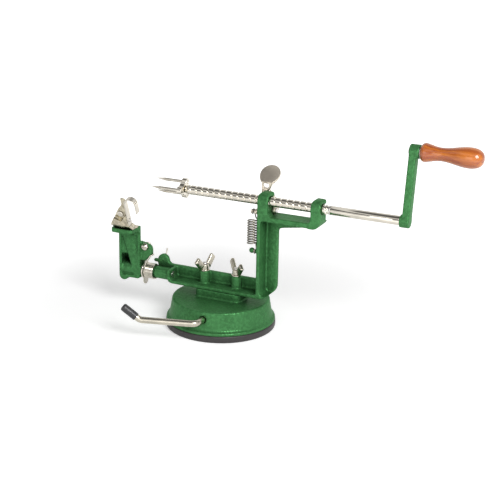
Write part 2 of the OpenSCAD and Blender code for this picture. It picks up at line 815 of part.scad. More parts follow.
module crank_pin() color(STEEL) on_crank() translate([crank_pin_x, 0, 0])
    bar_y(crank_pin_y + 0.2, hub_r_crank - 0.3, crank_pin_r);

module grip_axle() color(STEEL) on_grip() {
    head_x = crank_left_x - 0.1;
    bar_x(head_x - 0.1, grip_x + axle_l, grip_axle_r);
    translate([head_x, 0, 0]) rotate([0, -90, 0]) cylinder(h = axle_head_t, r1 = axle_head_r, r2 = axle_head_r - 1);
}

module grip_washer() color(STEEL) on_grip() difference() {
    bar_x(boss_face_x, boss_face_x + grip_washer_t, 5.6);
    bar_x(boss_face_x - 1, grip_x, grip_axle_r + turn_fit);
}

// The turned grip: a collar, a waist and a bulge, joined by cosine curves.
collar_r = 8.75;
collar_at = 2.6;
waist_r = 6.1;
waist_at = 17.5;
bulge_r = 9.5;
bulge_from_end = 13.4;
function ease(t) = (1 - cos(180 * t)) / 2;
function between(s, s0, r0, s1, r1) = r0 + (r1 - r0) * ease((s - s0) / (s1 - s0));
function grip_radius(s) = let (bulge_at = grip_l - bulge_from_end)
    s < collar_at ? collar_r - 1.5 * pow(1 - s / collar_at, 2)
    : s < waist_at ? between(s, collar_at, collar_r, waist_at, waist_r)
    : s < bulge_at ? between(s, waist_at, waist_r, bulge_at, bulge_r)
    : bulge_r * pow(1 - pow((s - bulge_at) / bulge_from_end, 2.6), 1 / 2.6);

module wooden_grip() {
    stations = 40;
    color(WOOD) on_grip() translate([grip_x, 0, 0]) difference() {
        rotate([0, 90, 0]) rotate_extrude() polygon([
            [0, 0], each [for (i = [0:stations]) let (s = grip_l * sin(90 * i / stations)) [grip_radius(s), s]]
        ]);
        bar_x(-1, axle_l + 1, grip_axle_r + press_fit);
    }
}

// --------------------------------------------------------- quick release

stem_x = column_x + 0.3;
stem_w = 8.4;
bend_x = column_x + 1.9;
bend_w = 11.6;
bend_z = arm_top_z + 28.8;
right_edge_x = right_ear_x + release_t;
heel_z = -1.2;

module release_plate_outline() {
    shoulder_z = screw_z + 0.5;
    difference() {
        polygon([
            [left_ear_x, pivot_z + heel_z], [right_edge_x, pivot_z + heel_z], [right_edge_x, shoulder_z - 3],
            [stem_x + stem_w / 2, shoulder_z + 7.5], [bend_x + bend_w / 2, bend_z + 0.2],
            [bend_x - bend_w / 2, bend_z + 0.2], [stem_x - stem_w / 2, shoulder_z + 3], [left_ear_x, shoulder_z]
        ]);
        for (side = [-1, 1]) translate([column_x + 0.7 + 0.55 * side, bend_z - 3.3]) circle(2.45);
    }
}

module paddle_outline() {
    mid = paddle_l * 0.51;
    low = mid * 1.23;
    drift = -0.7;
    polygon([
        [0.6 - bend_w / 2, -0.2],
        each [for (a = [-50:10:0]) [drift - paddle_w / 2 * cos(a), mid + low * sin(a)]],
        each [for (a = [170:-10:10]) [drift + paddle_w / 2 * cos(a), mid + (paddle_l - mid) * sin(a)]],
        each [for (a = [0:-10:-50]) [drift + paddle_w / 2 * cos(a), mid + low * sin(a)]],
        [bend_w / 2 - 0.6, -0.2]
    ]);
}

module release_lever() color("#a59b8f") difference() {
    union() {
        for (x = [left_ear_x, right_ear_x]) along_x(x, x + release_t) {
            translate([pivot_y, pivot_z]) circle(ear_foot_r);
            translate([pivot_y, pivot_z]) polygon([
                [0.4, -2.6], [plate_y + 0.5 - pivot_y, heel_z], [plate_y + 0.5 - pivot_y, 7],
                [0, 7], [-2, 5], [-2, 0]
            ]);
        }
        along_x(left_ear_x, left_ear_x + release_t) {
            translate([tail_y, tail_z]) circle(2.4);
            box2(tail_y, tail_z - 2.4, pivot_y, tail_z + 2.4);
        }
        translate([0, tail_y, tail_z]) {
            bar_x(left_ear_x - tail_peg_l, left_ear_x + 0.5, tail_peg_r);
            bar_x(left_ear_x - tail_peg_l, left_ear_x - tail_peg_l + 0.8, tail_peg_r + 0.7);
        }
        along_y(plate_y, plate_y + release_t) release_plate_outline();
        translate([bend_x, plate_y, bend_z]) rotate([-paddle_lean, 0, 0])
            along_y(0, release_t) paddle_outline();
    }
    translate([0, pivot_y, pivot_z]) bar_x(0, far / 4, release_pin_r + turn_fit);
    place_rivets() bar_y(plate_y - 1, plate_y + release_t + 1, rivet_r + press_fit);
}

nut_x = column_x + 1.2;
nut_l = hook_w - 2.4;

module place_rivets() {
    for (x = [nut_x + nut_l * 0.25, nut_x + nut_l * 0.75])
        translate([x, 0, nut_block_z + nut_block_h / 2]) children();
}

module half_nut() color(STEEL) difference() {
    translate([nut_x, nut_front_y, nut_block_z]) cube([nut_l, nut_rear_y - nut_front_y, nut_block_h]);
    intersection() {
        screw_thread(thread_slack);
        translate([nut_x - 2, screw_y, screw_z - 10]) cube([nut_l + 4, 20, 20]);
    }
    place_rivets() bar_y(3, plate_y + 1, rivet_r + press_fit);
}

module nut_rivets() color(STEEL) place_rivets() {
    bar_y(3, plate_y + release_t, rivet_r);
    bar_y(plate_y + release_t, plate_y + release_t + 0.8, rivet_r + 0.7);
}

module release_pin() color(STEEL) translate([0, pivot_y, pivot_z]) {
    head_l = 0.9;
    head_r = release_pin_r + 0.8;
    bar_x(left_ear_x - 0.2, right_edge_x + 0.2, release_pin_r);
    bar_x(left_ear_x - 0.2 - head_l, left_ear_x - 0.2, head_r);
    bar_x(right_edge_x + 0.2, right_edge_x + 0.2 + head_l, head_r);
}

// The tension spring from the peg on the column up to the lever's tail.
module release_spring() {
    ring_r = tail_peg_r + spring_wire_r + part_gap;
    low = [spring_axis_x + 3.3, tail_y, peg_z];
    high = [left_ear_x - 1.5, tail_y, tail_z];
    start = 60;
    turn_steps = 12;
    steps = release_spring_turns * turn_steps;
    function ring(c, a) = c + [0, ring_r * cos(a), ring_r * sin(a)];
    color(NICKEL) wire(concat(
        [for (a = [-240:20:0]) ring(low, a)],
        [low + [-0.1, ring_r + 0.2, 2.4], low + [-0.7, ring_r + 0.8, 4.6]],
        [for (i = [0:steps]) let (a = start + 360 * i / turn_steps)
            [spring_axis_x + spring_r * cos(a), tail_y + spring_r * sin(a),
            spring_bottom_z + i * spring_pitch / turn_steps]],
        [high + [0.9, ring_r + 0.5, -5.6], high + [0.3, ring_r + 0.1, -2.6]],
        [for (a = [0:20:240]) ring(high, a)]
    ), spring_wire_r, [1, 0, 0]);
}

// ----------------------------------------------------------- peeling arm

module on_arm_axis() {
    translate([0, arm_pivot_y, arm_pivot_z]) children();
}

module arm_outline(inset = 0) {
    r = 4.8;
    low = arm_bottom_z + 3.6;
    rounded2(arm_left_x + inset, low + inset, panel_right_x - inset, arm_top_face_z - inset, [0, 3, 0, 0]);
    difference() {
        rounded2(arm_left_x + inset, arm_bottom_z + inset, arm_left_x + 10 - inset, low + 6,
            [r - inset, r - inset, 0, 0]);
        if (inset > 0) box2(arm_left_x, arm_bottom_z, arm_left_x + 10, low + inset - 1);
    }
}

// The arm from the side: thin above, deep around the barrel.
module arm_side_outline() polygon([
    [arm_front_y, arm_bottom_z], [arm_rear_y, arm_bottom_z], [arm_rear_y, arm_pivot_z + 8],
    [panel_rear_y, arm_pivot_z + 17], [panel_rear_y, arm_top_face_z], [arm_front_y, arm_top_face_z]
]);

// The ear at the arm's right that carries the adjuster screw and the spring's peg.
module arm_lug_outline() {
    low = arm_pivot_z + 11.8;
    high = adjuster_z - 0.6;
    corner = 5;
    right = lug_x - 1.2;
    polygon([
        [panel_right_x - 1, low], [arm_right_x + 4, low], [right, high - corner - 5.6],
        [right, high - corner], [right - corner, high], [panel_right_x - 1, high + 2]
    ]);
    translate([right - corner, high - corner]) circle(corner);
}

module peel_arm() color(GREEN) difference() {
    barrel_r = 7.6;
    panel_t = 2;
    union() {
        intersection() {
            along_x(arm_left_x - 1, arm_right_x + 1) arm_side_outline();
            union() {
                difference() {
                    along_y(arm_front_y, arm_rear_y) arm_outline();
                    intersection() {
                        along_y(arm_front_y - 1, arm_rear_y) arm_outline(border_t);
                        along_x(arm_left_x - 1, arm_right_x + 1) translate([-panel_t, 0]) arm_side_outline();
                    }
                    along_x(arm_left_x + border_t, panel_right_x - border_t)
                        box2(arm_front_y - 1, arm_pivot_z - 4.6, arm_front_y + 0.9, arm_top_face_z - pad_t);
                }
                along_y(arm_front_y + 0.5, arm_rear_y) intersection() {
                    arm_outline();
                    polygon([
                        [arm_left_x, arm_top_face_z - pad_t], [arm_left_x + 10, arm_top_face_z - pad_t],
                        [panel_right_x - 3, arm_pivot_z + 16], [panel_right_x - 3, arm_pivot_z - 4],
                        [panel_right_x - 7.5, arm_pivot_z - 4], [arm_left_x + 4.6, arm_pivot_z + 34],
                        [arm_left_x, arm_pivot_z + 40]
                    ]);
                }
            }
        }
        translate([0, 0, arm_top_face_z - pad_t]) linear_extrude(pad_t)
            rounded2(arm_left_x, pad_front_y, panel_right_x, panel_rear_y, [3, 3, 1, 1]);
        along_x(arm_left_x, panel_right_x) translate([arm_front_y, arm_top_face_z - pad_t])
            rotate(180) corner_cut(-0.2, -0.2, 6, 0);
        along_y(lug_y0, lug_y0 + lug_t) arm_lug_outline();
        on_arm_axis() {
            bar_x(arm_left_x + 1, arm_right_x, barrel_r);
            bar_x(arm_right_x - 1, hub_end_x - part_gap, sleeve_r);
        }
    }
    on_arm_axis() bar_x(arm_left_x - 1, hub_end_x + 1, arm_pin_r + turn_fit);
    place_adjuster() bar_y(-1, lug_t + 1, adjuster_r + press_fit);
    place_holder_screw() translate([0, 0, -pad_t - 1]) cylinder(h = pad_t + 2, r = holder_screw_r + press_fit);
}

module place_adjuster() {
    translate([adjuster_x, lug_y0, adjuster_z - 3.4]) children();
}

module adjuster_screw() color(NICKEL) place_adjuster() {
    head_r = 3.8;
    bar_y(0, lug_t + 4.4, adjuster_r);
    difference() {
        translate([0, 1.4, 0]) sphere(r = head_r + 0.6);
        translate([-10, 0, -10]) cube(20);
        translate([-10, -3.2, -0.5]) cube([20, 1.4, 1]);
    }
}

module adjuster_nut() color(NICKEL) place_adjuster() difference() {
    translate([0, lug_t, 0]) rotate([-90, 0, 0]) cylinder(h = 2.6, r = 3.8, $fn = 6);
    bar_y(0, lug_t + 6, adjuster_r + press_fit);
}

pin_end_gap = 0.3;

module arm_pivot_pin() color(STEEL) on_arm_axis() difference() {
    clip_x = arm_left_x - pin_end_gap - clip_t;
    bar_x(clip_x - 1.2, beam_x + floor_t, arm_pin_r - press_fit);
    difference() {
        bar_x(clip_x, clip_x + clip_t, arm_pin_r + 1);
        bar_x(clip_x - 1, clip_x + clip_t + 1, arm_pin_r - 0.6);
    }
}

module arm_pin_clip() color(STEEL) on_arm_axis() difference() {
    clip_x = arm_left_x - pin_end_gap - clip_t;
    bar_x(clip_x, clip_x + clip_t, arm_pin_r + 2.4);
    bar_x(clip_x - 1, clip_x + clip_t + 1, arm_pin_r - 0.6 + press_fit);
}

// The torsion spring round the arm's sleeve: one leg on the arm's peg, the other
// under the frame's lug and up behind it.
module arm_spring() {
    turn_steps = 14;
    steps = ceil((arm_spring_turns + 0.25) * turn_steps);
    slip = (coil_end_x - coil_start_x) / steps;
    back = rear_y + 2 * part_gap + coil_wire_r - arm_pivot_y;
    leg_x = lug_x - 1.2 + coil_wire_r + 0.2;
    function coil(i) = let (a = 180 + 360 * (arm_spring_turns + 0.25) * i / steps)
        [coil_start_x + slip * i, coil_r * cos(a), coil_r * sin(a)];
    color(NICKEL) on_arm_axis() wire(concat(
        [[leg_x, 4.5 - coil_r, 18.8], [leg_x, 1.4 - coil_r, 18.8], [leg_x - 0.5, 0.3 - coil_r, 18.5],
        [leg_x - 1.6, -coil_r, 17.4], [coil_start_x + 2.4, -coil_r, 9.5], [coil_start_x + 0.5, -coil_r, 3.2]],
        [for (i = [0:steps]) coil(i)],
        [[coil_end_x, 3, -coil_r], [coil_end_x, back - 2.2, -coil_r], [coil_end_x, back - 0.6, -coil_r + 0.7],
        [coil_end_x + 0.2, back, -coil_r + 2.4], [coil_end_x + 5.6, back, 21]]
    ), coil_wire_r, [1, 0, 0]);
}

module arm_latch() color(NICKEL) on_arm_axis() along_x(latch_x, latch_x + latch_t) difference() {
    union() {
        circle(8.8);
        rounded2(-4.2, -14.6, 4.2, 0, [4.1, 4.1, 0, 0]);
        rounded2(-1.6, 0, 1.6, 10.9, [0, 0, 1.5, 1.5]);
    }
    circle(sleeve_r + turn_fit);
}

// ---------------------------------------------------------- peeling head

module on_holder() {
    translate([0, holder_y, holder_z]) rotate([holder_lean, 0, 0]) children();
}

module place_holder_screw() {
    translate([holder_x + 8, holder_y + 10.5, holder_z]) children();
}

module place_rivet() {
    on_holder() translate([0, -blade_depth / 2, rivet_s]) children();
}

ear_left_x = ear_right_x - holder_t;
finger_rivet_r = 1.4;

module place_finger_rivet() {
    on_holder() translate([holder_x + 13.9, 0, 19.6]) children();
}

// The round-headed rivet in the holder's front flap.
module finger_rivet() color(NICKEL) place_finger_rivet() {
    head_r = 3.2;
    bar_y(-0.2, holder_t + 0.6, finger_rivet_r);
    bar_y(-0.7, 0, head_r);
    translate([0, -0.7, 0]) rotate([90, 0, 0]) cylinder(h = 0.5, r1 = head_r, r2 = head_r - 0.7);
}

module blade_holder() color(NICKEL) difference() {
    union() {
        translate([0, 0, holder_z]) linear_extrude(holder_t)
            rounded2(holder_x, holder_y + 4, holder_x + holder_w, holder_y + holder_l, [0, 0, 3, 3]);
        along_x(holder_x, holder_x + holder_w) translate([holder_y, holder_z]) polygon([
            [4.4, 0], [4.4, holder_t], [holder_t - 1.1, holder_lift + 0.9], [-1.25, holder_lift + 0.2],
            [3.6, 0.2], [4, 0]
        ]);
        on_holder() {
            along_y(0, holder_t) {
                polygon([
                    [holder_x - 1, holder_lift], [holder_x + 18, holder_lift], [ear_right_x, holder_lift + 4],
                    [ear_right_x, 22], [holder_x + 19.4, 25.4], [holder_x + 19.4, 28], [holder_x + 13.8, 28]
                ]);
                rounded2(holder_x + 14.2, 27, holder_x + 19.2, 36.2, [0, 0, 0.8, 0.8]);
            }
            translate([ear_left_x, -blade_depth, blade_foot]) cube([holder_t, blade_depth + 0.5, 11]);
        }
        along_x(holder_x + holder_w - holder_t, holder_x + holder_w) translate([holder_y, holder_z])
            polygon([
                [3.4, 0], [13, 0], [13, holder_t], [-2.2, 11.5], [-3.8, 10.4], [-0.9, holder_lift - 0.4]
            ]);
    }
    place_holder_screw() translate([0, 0, -1]) cylinder(h = 5, r = holder_screw_r + press_fit);
    place_finger_rivet() bar_y(-1, holder_t + 1, finger_rivet_r + press_fit);
    place_rivet() bar_x(ear_left_x - 1, ear_right_x + 1, rivet_r + press_fit);
}

module holder_screw() color(NICKEL) place_holder_screw() {
    translate([0, 0, -pad_t]) cylinder(h = pad_t + holder_t, r = holder_screw_r);
    translate([0, 0, holder_t]) difference() {
        cylinder(h = 2.2, r1 = 3.6, r2 = 2.6);
        translate([-5, -0.5, 1.2]) cube([10, 1, 3]);
    }
}

module peel_blade() color(NICKEL) difference() {
    outer = blade_w / 2;
    inner = outer - blade_t;
    on_holder() along_y(-blade_depth, 0) translate([blade_x, blade_top - outer]) {
        difference() {
            circle(outer);
            circle(inner);
            box2(-far / 10, -far / 10, far / 10, 0);
        }
        box2(-outer, blade_foot - blade_top + outer, -inner, 0.01);
        box2(inner, blade_free_end - blade_top + outer, outer, 0.01);
    }
    place_rivet() bar_x(ear_left_x - 1, blade_x - inner + 1, rivet_r + press_fit);
}

module blade_rivet() color(STEEL) place_rivet() {
    leg_x = blade_x - blade_w / 2 + blade_t;
    bar_x(ear_left_x, leg_x, rivet_r);
    bar_x(ear_left_x - 0.8, ear_left_x, rivet_r + 0.8);
    bar_x(leg_x, leg_x + 0.7, rivet_r + 0.8);
}

suction_pad();
base_shell();
lever_rod();
lever_cam();
lever_clip();
lever_grip();
lift_yoke();
frame_studs();
frame_casting();
washer_left();
washer_right();
wing_nut_left();
wing_nut_right();
feed_screw();
stop_collar();
fork_plate();
fork_prongs();
crank_arm();
crank_pin();
grip_axle();
grip_washer();
wooden_grip();
release_lever();
half_nut();
nut_rivets();
release_pin();
release_spring();
peel_arm();
arm_pivot_pin();
arm_pin_clip();
arm_spring();
arm_latch();
adjuster_screw();
adjuster_nut();
blade_holder();
holder_screw();
finger_rivet();
peel_blade();
blade_rivet();
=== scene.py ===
"""Finishes for a hand-cranked fruit peeler on a suction base.

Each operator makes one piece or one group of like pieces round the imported
parts, and the stage operator adds the floor, the lamps and the camera.
All sizes are in metres.
"""

import json
import math

import bmesh
import bpy
from bpy.props import FloatProperty, FloatVectorProperty, IntProperty, PointerProperty
from mathutils import Matrix, Vector


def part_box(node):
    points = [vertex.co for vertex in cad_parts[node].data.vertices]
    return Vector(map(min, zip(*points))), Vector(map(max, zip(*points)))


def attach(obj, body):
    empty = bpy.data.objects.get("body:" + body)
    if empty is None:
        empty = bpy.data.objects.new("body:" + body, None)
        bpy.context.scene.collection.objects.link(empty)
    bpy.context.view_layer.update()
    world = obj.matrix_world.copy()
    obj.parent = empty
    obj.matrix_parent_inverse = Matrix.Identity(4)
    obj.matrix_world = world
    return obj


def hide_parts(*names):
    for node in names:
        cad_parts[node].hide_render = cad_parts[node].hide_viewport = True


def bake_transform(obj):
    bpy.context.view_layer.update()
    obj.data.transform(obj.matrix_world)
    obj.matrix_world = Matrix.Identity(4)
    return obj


bl_info = {
    "name": "Peeler Finishes",
    "version": (1, 0, 0),
    "blender": (4, 5, 0),
    "location": "3D View > Sidebar > Peeler",
    "description": "Cast, plated and turned finishes for a cranked fruit peeler",
    "category": "Object",
}

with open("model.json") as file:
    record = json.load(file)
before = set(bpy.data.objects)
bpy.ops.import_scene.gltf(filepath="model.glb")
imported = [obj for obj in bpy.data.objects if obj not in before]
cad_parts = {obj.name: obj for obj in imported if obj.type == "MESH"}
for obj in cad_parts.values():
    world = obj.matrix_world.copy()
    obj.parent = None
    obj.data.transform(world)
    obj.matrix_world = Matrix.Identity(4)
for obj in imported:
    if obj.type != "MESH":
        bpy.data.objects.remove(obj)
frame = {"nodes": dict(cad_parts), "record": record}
NODES = frame["nodes"]
SLOT_OF = {part["node"]: part["material_slot"] for part in frame["record"]["subparts"]}
BODY_OF = {
    node: body
    for body, members in frame["record"]["behaviour"]["bodies"].items()
    for node in members
}

WHITE = (1.0, 1.0, 1.0)
BLACK = (0.0, 0.0, 0.0)
# The scale of drag lines that run no one way, along X, Y and Z.
EVEN = (300.0, 300.0, 300.0)
# The radii between which a crest of the feed screw goes over into a groove.
CREST_R, GROOVE_R = 0.0045, 0.00405
# The mesh size of the blade and the prongs, as a share of that of other sheet pieces.
THIN = 0.7
WIRE_SIDES = 12


# ---------------------------------------------------------------- materials


class Value:
    """A number or colour that varies over a surface. Arithmetic adds Math nodes."""

    def __init__(self, graph, socket):
        self.graph = graph
        self.socket = socket

    def _math(self, operation, *terms):
        return self.graph.add("ShaderNodeMath", {"operation": operation}, dict(enumerate(terms)))

    def __add__(self, other):
        return self._math("ADD", self, other)

    def __sub__(self, other):
        return self._math("SUBTRACT", self, other)

    def __rsub__(self, other):
        return self._math("SUBTRACT", other, self)

    def __mul__(self, other):
        return self._math("MULTIPLY", self, other)

    __radd__ = __add__
    __rmul__ = __mul__


class Graph:
    """The nodes of one material or of the world."""

    def __init__(self, owner):
        self.owner = owner
        owner.use_nodes = True
        self.tree = owner.node_tree
        self.tree.nodes.clear()

    @staticmethod
    def _socket(sockets, key):
        if isinstance(key, int):
            return sockets[key]
        return next(socket for socket in sockets if socket.name == key and socket.enabled)

    def add(self, kind, settings=None, inputs=None, output=0):
        """Adds a node of one type, with its settings and then its inputs, and gives one output."""
        node = self.tree.nodes.new(kind)
        for key, value in (settings or {}).items():
            setattr(node, key, value)
        for key, value in (inputs or {}).items():
            socket = self._socket(node.inputs, key)
            if isinstance(value, Value):
                self.tree.links.new(value.socket, socket)
            elif socket.type == "RGBA" and len(value) == 3:
                socket.default_value = (*value, 1.0)
            else:
                socket.default_value = value
        return Value(self, self._socket(node.outputs, output)) if node.outputs else None

    def position(self):
        """The point on the piece in its own space."""
        return self.add("ShaderNodeTexCoord", output="Object")

    def noise(self, scale, detail=2.0, vector=None):
        """Clouds round 0.5, this many to a metre unless a vector is given."""
        inputs = {"Vector": vector or self.position(), "Scale": scale, "Detail": detail}
        return self.add("ShaderNodeTexNoise", None, inputs, "Fac")

    def stretched(self, scale):
        """The position, drawn out along the axes that get a small scale."""
        return self.add("ShaderNodeMapping", None, {"Vector": self.position(), "Scale": scale})

    def step(self, value, low, high):
        """0 below low, 1 above high and smooth between."""
        settings = {"interpolation_type": "SMOOTHSTEP"}
        inputs = {"Value": value, "From Min": low, "From Max": high}
        return self.add("ShaderNodeMapRange", settings, inputs)

    def blend(self, factor, first, second):
        """One colour going over into another."""
        inputs = {"Factor": factor, "A": first, "B": second}
        return self.add("ShaderNodeMix", {"data_type": "RGBA"}, inputs, "Result")

    def corners(self, reach, dark, light):
        """1 in corners and folds no wider than reach, 0 in the open."""
        inputs = {"Distance": reach}
        openness = self.add("ShaderNodeAmbientOcclusion", {"samples": 6}, inputs, "AO")
        return 1.0 - self.step(openness, dark, light)

    def edges(self, radius):
        """0 on flats, up to 1 along edges."""
        bevel = self.add("ShaderNodeBevel", {"samples": 4}, {"Radius": radius})
        normal = self.add("ShaderNodeNewGeometry", output="Normal")
        settings = {"operation": "DOT_PRODUCT"}
        cosine = self.add("ShaderNodeVectorMath", settings, {0: bevel, 1: normal}, "Value")
        return self.step(1.0 - cosine, 0.01, 0.25)

    def bump(self, height, strength, distance):
        """A normal that follows a height."""
        inputs = {"Height": height, "Strength": strength, "Distance": distance}
        return self.add("ShaderNodeBump", None, inputs)

    def finish(self, inputs):
        """Ends the material in one Principled shader with these inputs."""
        shader = self.add("ShaderNodeBsdfPrincipled", None, inputs)
        self.add("ShaderNodeOutputMaterial", None, {"Surface": shader})
        return self.owner


def paint(name):
    """The empty nodes of a new material."""
    return Graph(bpy.data.materials.new(name))


def scaled(colour, factor):
    """A colour made darker or lighter."""
    return tuple(min(1.0, channel * factor) for channel in colour)


def enamel(name, look, corner_shade, reach):
    """Green hammered enamel, dimpled and flecked, with a painted highlight along its edges and
    painted shade in its corners.
    """
    graph = paint(name)
    colour = tuple(look.enamel)
    cell = graph.add(
        "ShaderNodeTexVoronoi",
        {"feature": "SMOOTH_F1"},
        {"Vector": graph.position(), "Scale": 1.0 / look.dimple, "Smoothness": 0.5},
        "Distance",
    )
    mottle = graph.noise(380.0, 3.0)
    cloud = graph.noise(45.0, 2.0)
    fleck = graph.step(graph.noise(2600.0, 2.0), 0.52, 0.7)
    edge_highlight = graph.edges(0.0009)
    base = graph.blend(graph.step(cloud, 0.35, 0.65), scaled(colour, 0.88), scaled(colour, 1.08))
    base = graph.blend(graph.step(mottle, 0.42, 0.62) * 0.6, base, scaled(colour, 1.5))
    base = graph.blend(fleck * 0.35, base, scaled(colour, 2.3))
    # Painted highlight: the edges are lightened where light would catch them.
    base = graph.blend(edge_highlight * 0.6, base, scaled(colour, 1.9))
    # Painted shade: corners and recesses are darkened as they would be in shade.
    base = graph.blend(graph.corners(reach, 0.25, 0.95), base, scaled(colour, corner_shade))
    height = cell * 0.6 + mottle * 0.5
    return graph.finish(
        {
            "Base Color": base,
            "Metallic": 0.38 + 0.2 * fleck,
            "Roughness": 0.3 + 0.1 * mottle,
            "IOR": 1.3,
            "Specular Tint": (0.2, 0.55, 0.25),
            "Normal": graph.bump(height, 0.6, 0.0006),
        }
    )


def plated(name, colour, roughness, scratches=EVEN, threaded=False):
    """Nickel or zinc plate with faint drag lines, duller patches, painted shade along edges and
    bright grooves.
    """
    graph = paint(name)
    drag = graph.noise(1.0, 3.0, graph.stretched(scratches))
    patch = graph.noise(90.0, 2.0)
    base = graph.blend(graph.step(patch, 0.35, 0.7), scaled(colour, 0.9), scaled(colour, 1.08))
    # Painted shade: the plate is darkened along its edges.
    base = graph.blend(graph.edges(0.0004) * 0.45, base, scaled(colour, 0.4))
    if threaded:
        base = graph.blend(grooves(graph) * 0.8, base, scaled(colour, 1.35))
    return graph.finish(
        {
            "Base Color": base,
            "Metallic": 1.0,
            "Roughness": roughness + 0.12 * (drag - 0.5) + 0.1 * (patch - 0.5),
            "Normal": graph.bump(drag, 0.12, 0.0001),
        }
    )


def stamped(name, colour):
    """Pressed nickelled sheet, uneven enough to break up what it mirrors, with painted shade in its
    folds and along its edges.
    """
    graph = paint(name)
    dents = graph.noise(210.0, 2.0)
    patch = graph.noise(320.0, 3.0)
    base = graph.blend(graph.step(patch, 0.3, 0.7), scaled(colour, 0.62), scaled(colour, 1.12))
    # Painted shade darkens the folds and corners, and then the edges.
    base = graph.blend(graph.corners(0.0025, 0.35, 0.85), base, scaled(colour, 0.2))
    base = graph.blend(graph.edges(0.0006) * 0.75, base, scaled(colour, 0.22))
    return graph.finish(
        {
            "Base Color": base,
            "Metallic": 1.0,
            "Roughness": 0.14 + 0.2 * patch,
            "Normal": graph.bump(dents, 1.0, 0.0016),
        }
    )


def grooves(graph):
    """1 in the grooves of the feed screw, 0 on its crests."""
    axis = middle_of("stop_collar")
    settings = {"operation": "MULTIPLY_ADD"}
    inputs = {0: graph.position(), 1: (0.0, 1.0, 1.0), 2: (0.0, -axis.y, -axis.z)}
    across = graph.add("ShaderNodeVectorMath", settings, inputs, "Vector")
    radius = graph.add("ShaderNodeVectorMath", {"operation": "LENGTH"}, {0: across}, "Value")
    return 1.0 - graph.step(radius, GROOVE_R, CREST_R)


def rubber(name, look):
    """Moulded rubber with a dusty bloom."""
    graph = paint(name)
    colour = tuple(look.rubber)
    bloom = graph.step(graph.noise(70.0, 4.0), 0.4, 0.75)
    grain = graph.noise(2200.0, 2.0)
    return graph.finish(
        {
            "Base Color": graph.blend(bloom * 0.5, colour, scaled(colour, 1.8)),
            "Roughness": 0.45 + 0.2 * bloom,
            "Normal": graph.bump(grain, 0.15, 0.0001),
        }
    )


def dipped(name, look):
    """The soft dark skin dipped on the lever's end."""
    graph = paint(name)
    colour = tuple(look.dipped)
    wave = graph.noise(160.0, 2.0)
    return graph.finish(
        {
            "Base Color": graph.blend(wave, colour, scaled(colour, 1.5)),
            "Roughness": 0.3 + 0.15 * wave,
            "Normal": graph.bump(wave, 0.2, 0.0005),
        }
    )


def turned_wood(name, look):
    """Varnished orange-brown hardwood, its grain along the grip."""
    graph = paint(name)
    colour = tuple(look.wood)
    along = graph.stretched((22.0, 260.0, 260.0))
    warp = graph.noise(0.35, 3.0, along)
    figure = graph.noise(1.0, 5.0, along)
    pores = graph.step(graph.noise(1.0, 2.0, graph.stretched((120.0, 2600.0, 2600.0))), 0.6, 0.74)
    red = (0.72 * colour[0], 0.46 * colour[1], 0.8 * colour[2])
    base = graph.blend(graph.step(figure, 0.34, 0.66), red, scaled(colour, 1.3))
    base = graph.blend(graph.step(warp, 0.4, 0.7) * 0.4, base, scaled(colour, 1.6))
    base = graph.blend(pores * 0.5, base, scaled(colour, 0.35))
    return graph.finish(
        {
            "Base Color": base,
            "Roughness": 0.36 + 0.15 * pores,
            "Normal": graph.bump(pores, 0.1, 0.0001),
            "Coat Weight": 1.0,
            "Coat Roughness": 0.1,
            "Coat IOR": 1.5,
            "Specular IOR Level": 0.2,
        }
    )


MATERIALS = {}


def finishes(look):
    """One material for each finish, made once."""
    if not MATERIALS:
        nickel, zinc = tuple(look.nickel), tuple(look.zinc)
        MATERIALS.update(
            # Both enamels darken their corners with painted shade. The arm's is the same paint with
            # deeper painted shade that reaches further into its recess.
            green_paint=enamel("green_enamel", look, 0.5, 0.011),
            arm_paint=enamel("green_arm_enamel_deep_shade", look, 0.22, 0.024),
            nickel=plated("nickel_plate", scaled(nickel, 0.94), 0.11),
            zinc=plated("zinc_plate", zinc, 0.24),
            spring=plated("spring_wire", scaled(zinc, 0.5), 0.22),
            stamped=stamped("stamped_plate", tuple(look.pressed)),
            screw=plated("screw_plate", scaled(nickel, 0.9), 0.09, (40.0, 1800.0, 1800.0), True),
            satin_nickel=plated("satin_plate", tuple(look.satin), 0.4, (900.0, 900.0, 60.0)),
            steel=plated("plain_steel", tuple(look.steel), 0.34, (200.0, 200.0, 200.0)),
            rubber=rubber("suction_rubber", look),
            dark_grip=dipped("dipped_vinyl", look),
            turned_wood=turned_wood("varnished_wood", look),
        )
    return MATERIALS


def coat(piece, material):
    """Gives a piece one material."""
    piece.data.materials.clear()
    piece.data.materials.append(material)


def seat(piece, node, material=None, stretches=None):
    """Puts a finished piece in the place of its node and hides the node. It takes its slot's finish
    unless given a material, and joins its node's body unless stretches is given, when only its
    place is baked in.
    """
    coat(piece, material or finishes(bpy.context.scene.peeler_look)[SLOT_OF[node]])
    if stretches:
        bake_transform(piece)
    else:
        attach(piece, BODY_OF[node])
    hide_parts(node)


def linked(name, mesh):
    """A new object for a mesh, shaded smooth."""
    piece = bpy.data.objects.new(name, mesh)
    bpy.context.scene.collection.objects.link(piece)
    for polygon in mesh.polygons:
        polygon.use_smooth = True
    return piece


def worn_copy(node, voxel, rounds, name):
    """A copy of a node with all its edges rounded, as casting, tumbling or plating leaves them."""
    return remeshed(NODES[node].data.copy(), voxel, rounds, name)


def remeshed(mesh, voxel, rounds, name):
    """One even skin round a mesh, smoothed some times over."""
    piece = bpy.data.objects.new(name, mesh)
    bpy.context.scene.collection.objects.link(piece)
    remesh = piece.modifiers.new("skin", "REMESH")
    remesh.mode = "VOXEL"
    remesh.voxel_size = voxel
    smooth = piece.modifiers.new("wear", "SMOOTH")
    smooth.factor = 0.5
    smooth.iterations = rounds
    bpy.context.view_layer.update()
    evaluated = piece.evaluated_get(bpy.context.evaluated_depsgraph_get())
    mesh = bpy.data.meshes.new_from_object(evaluated)
    bpy.data.objects.remove(piece)
    return linked(name, mesh)


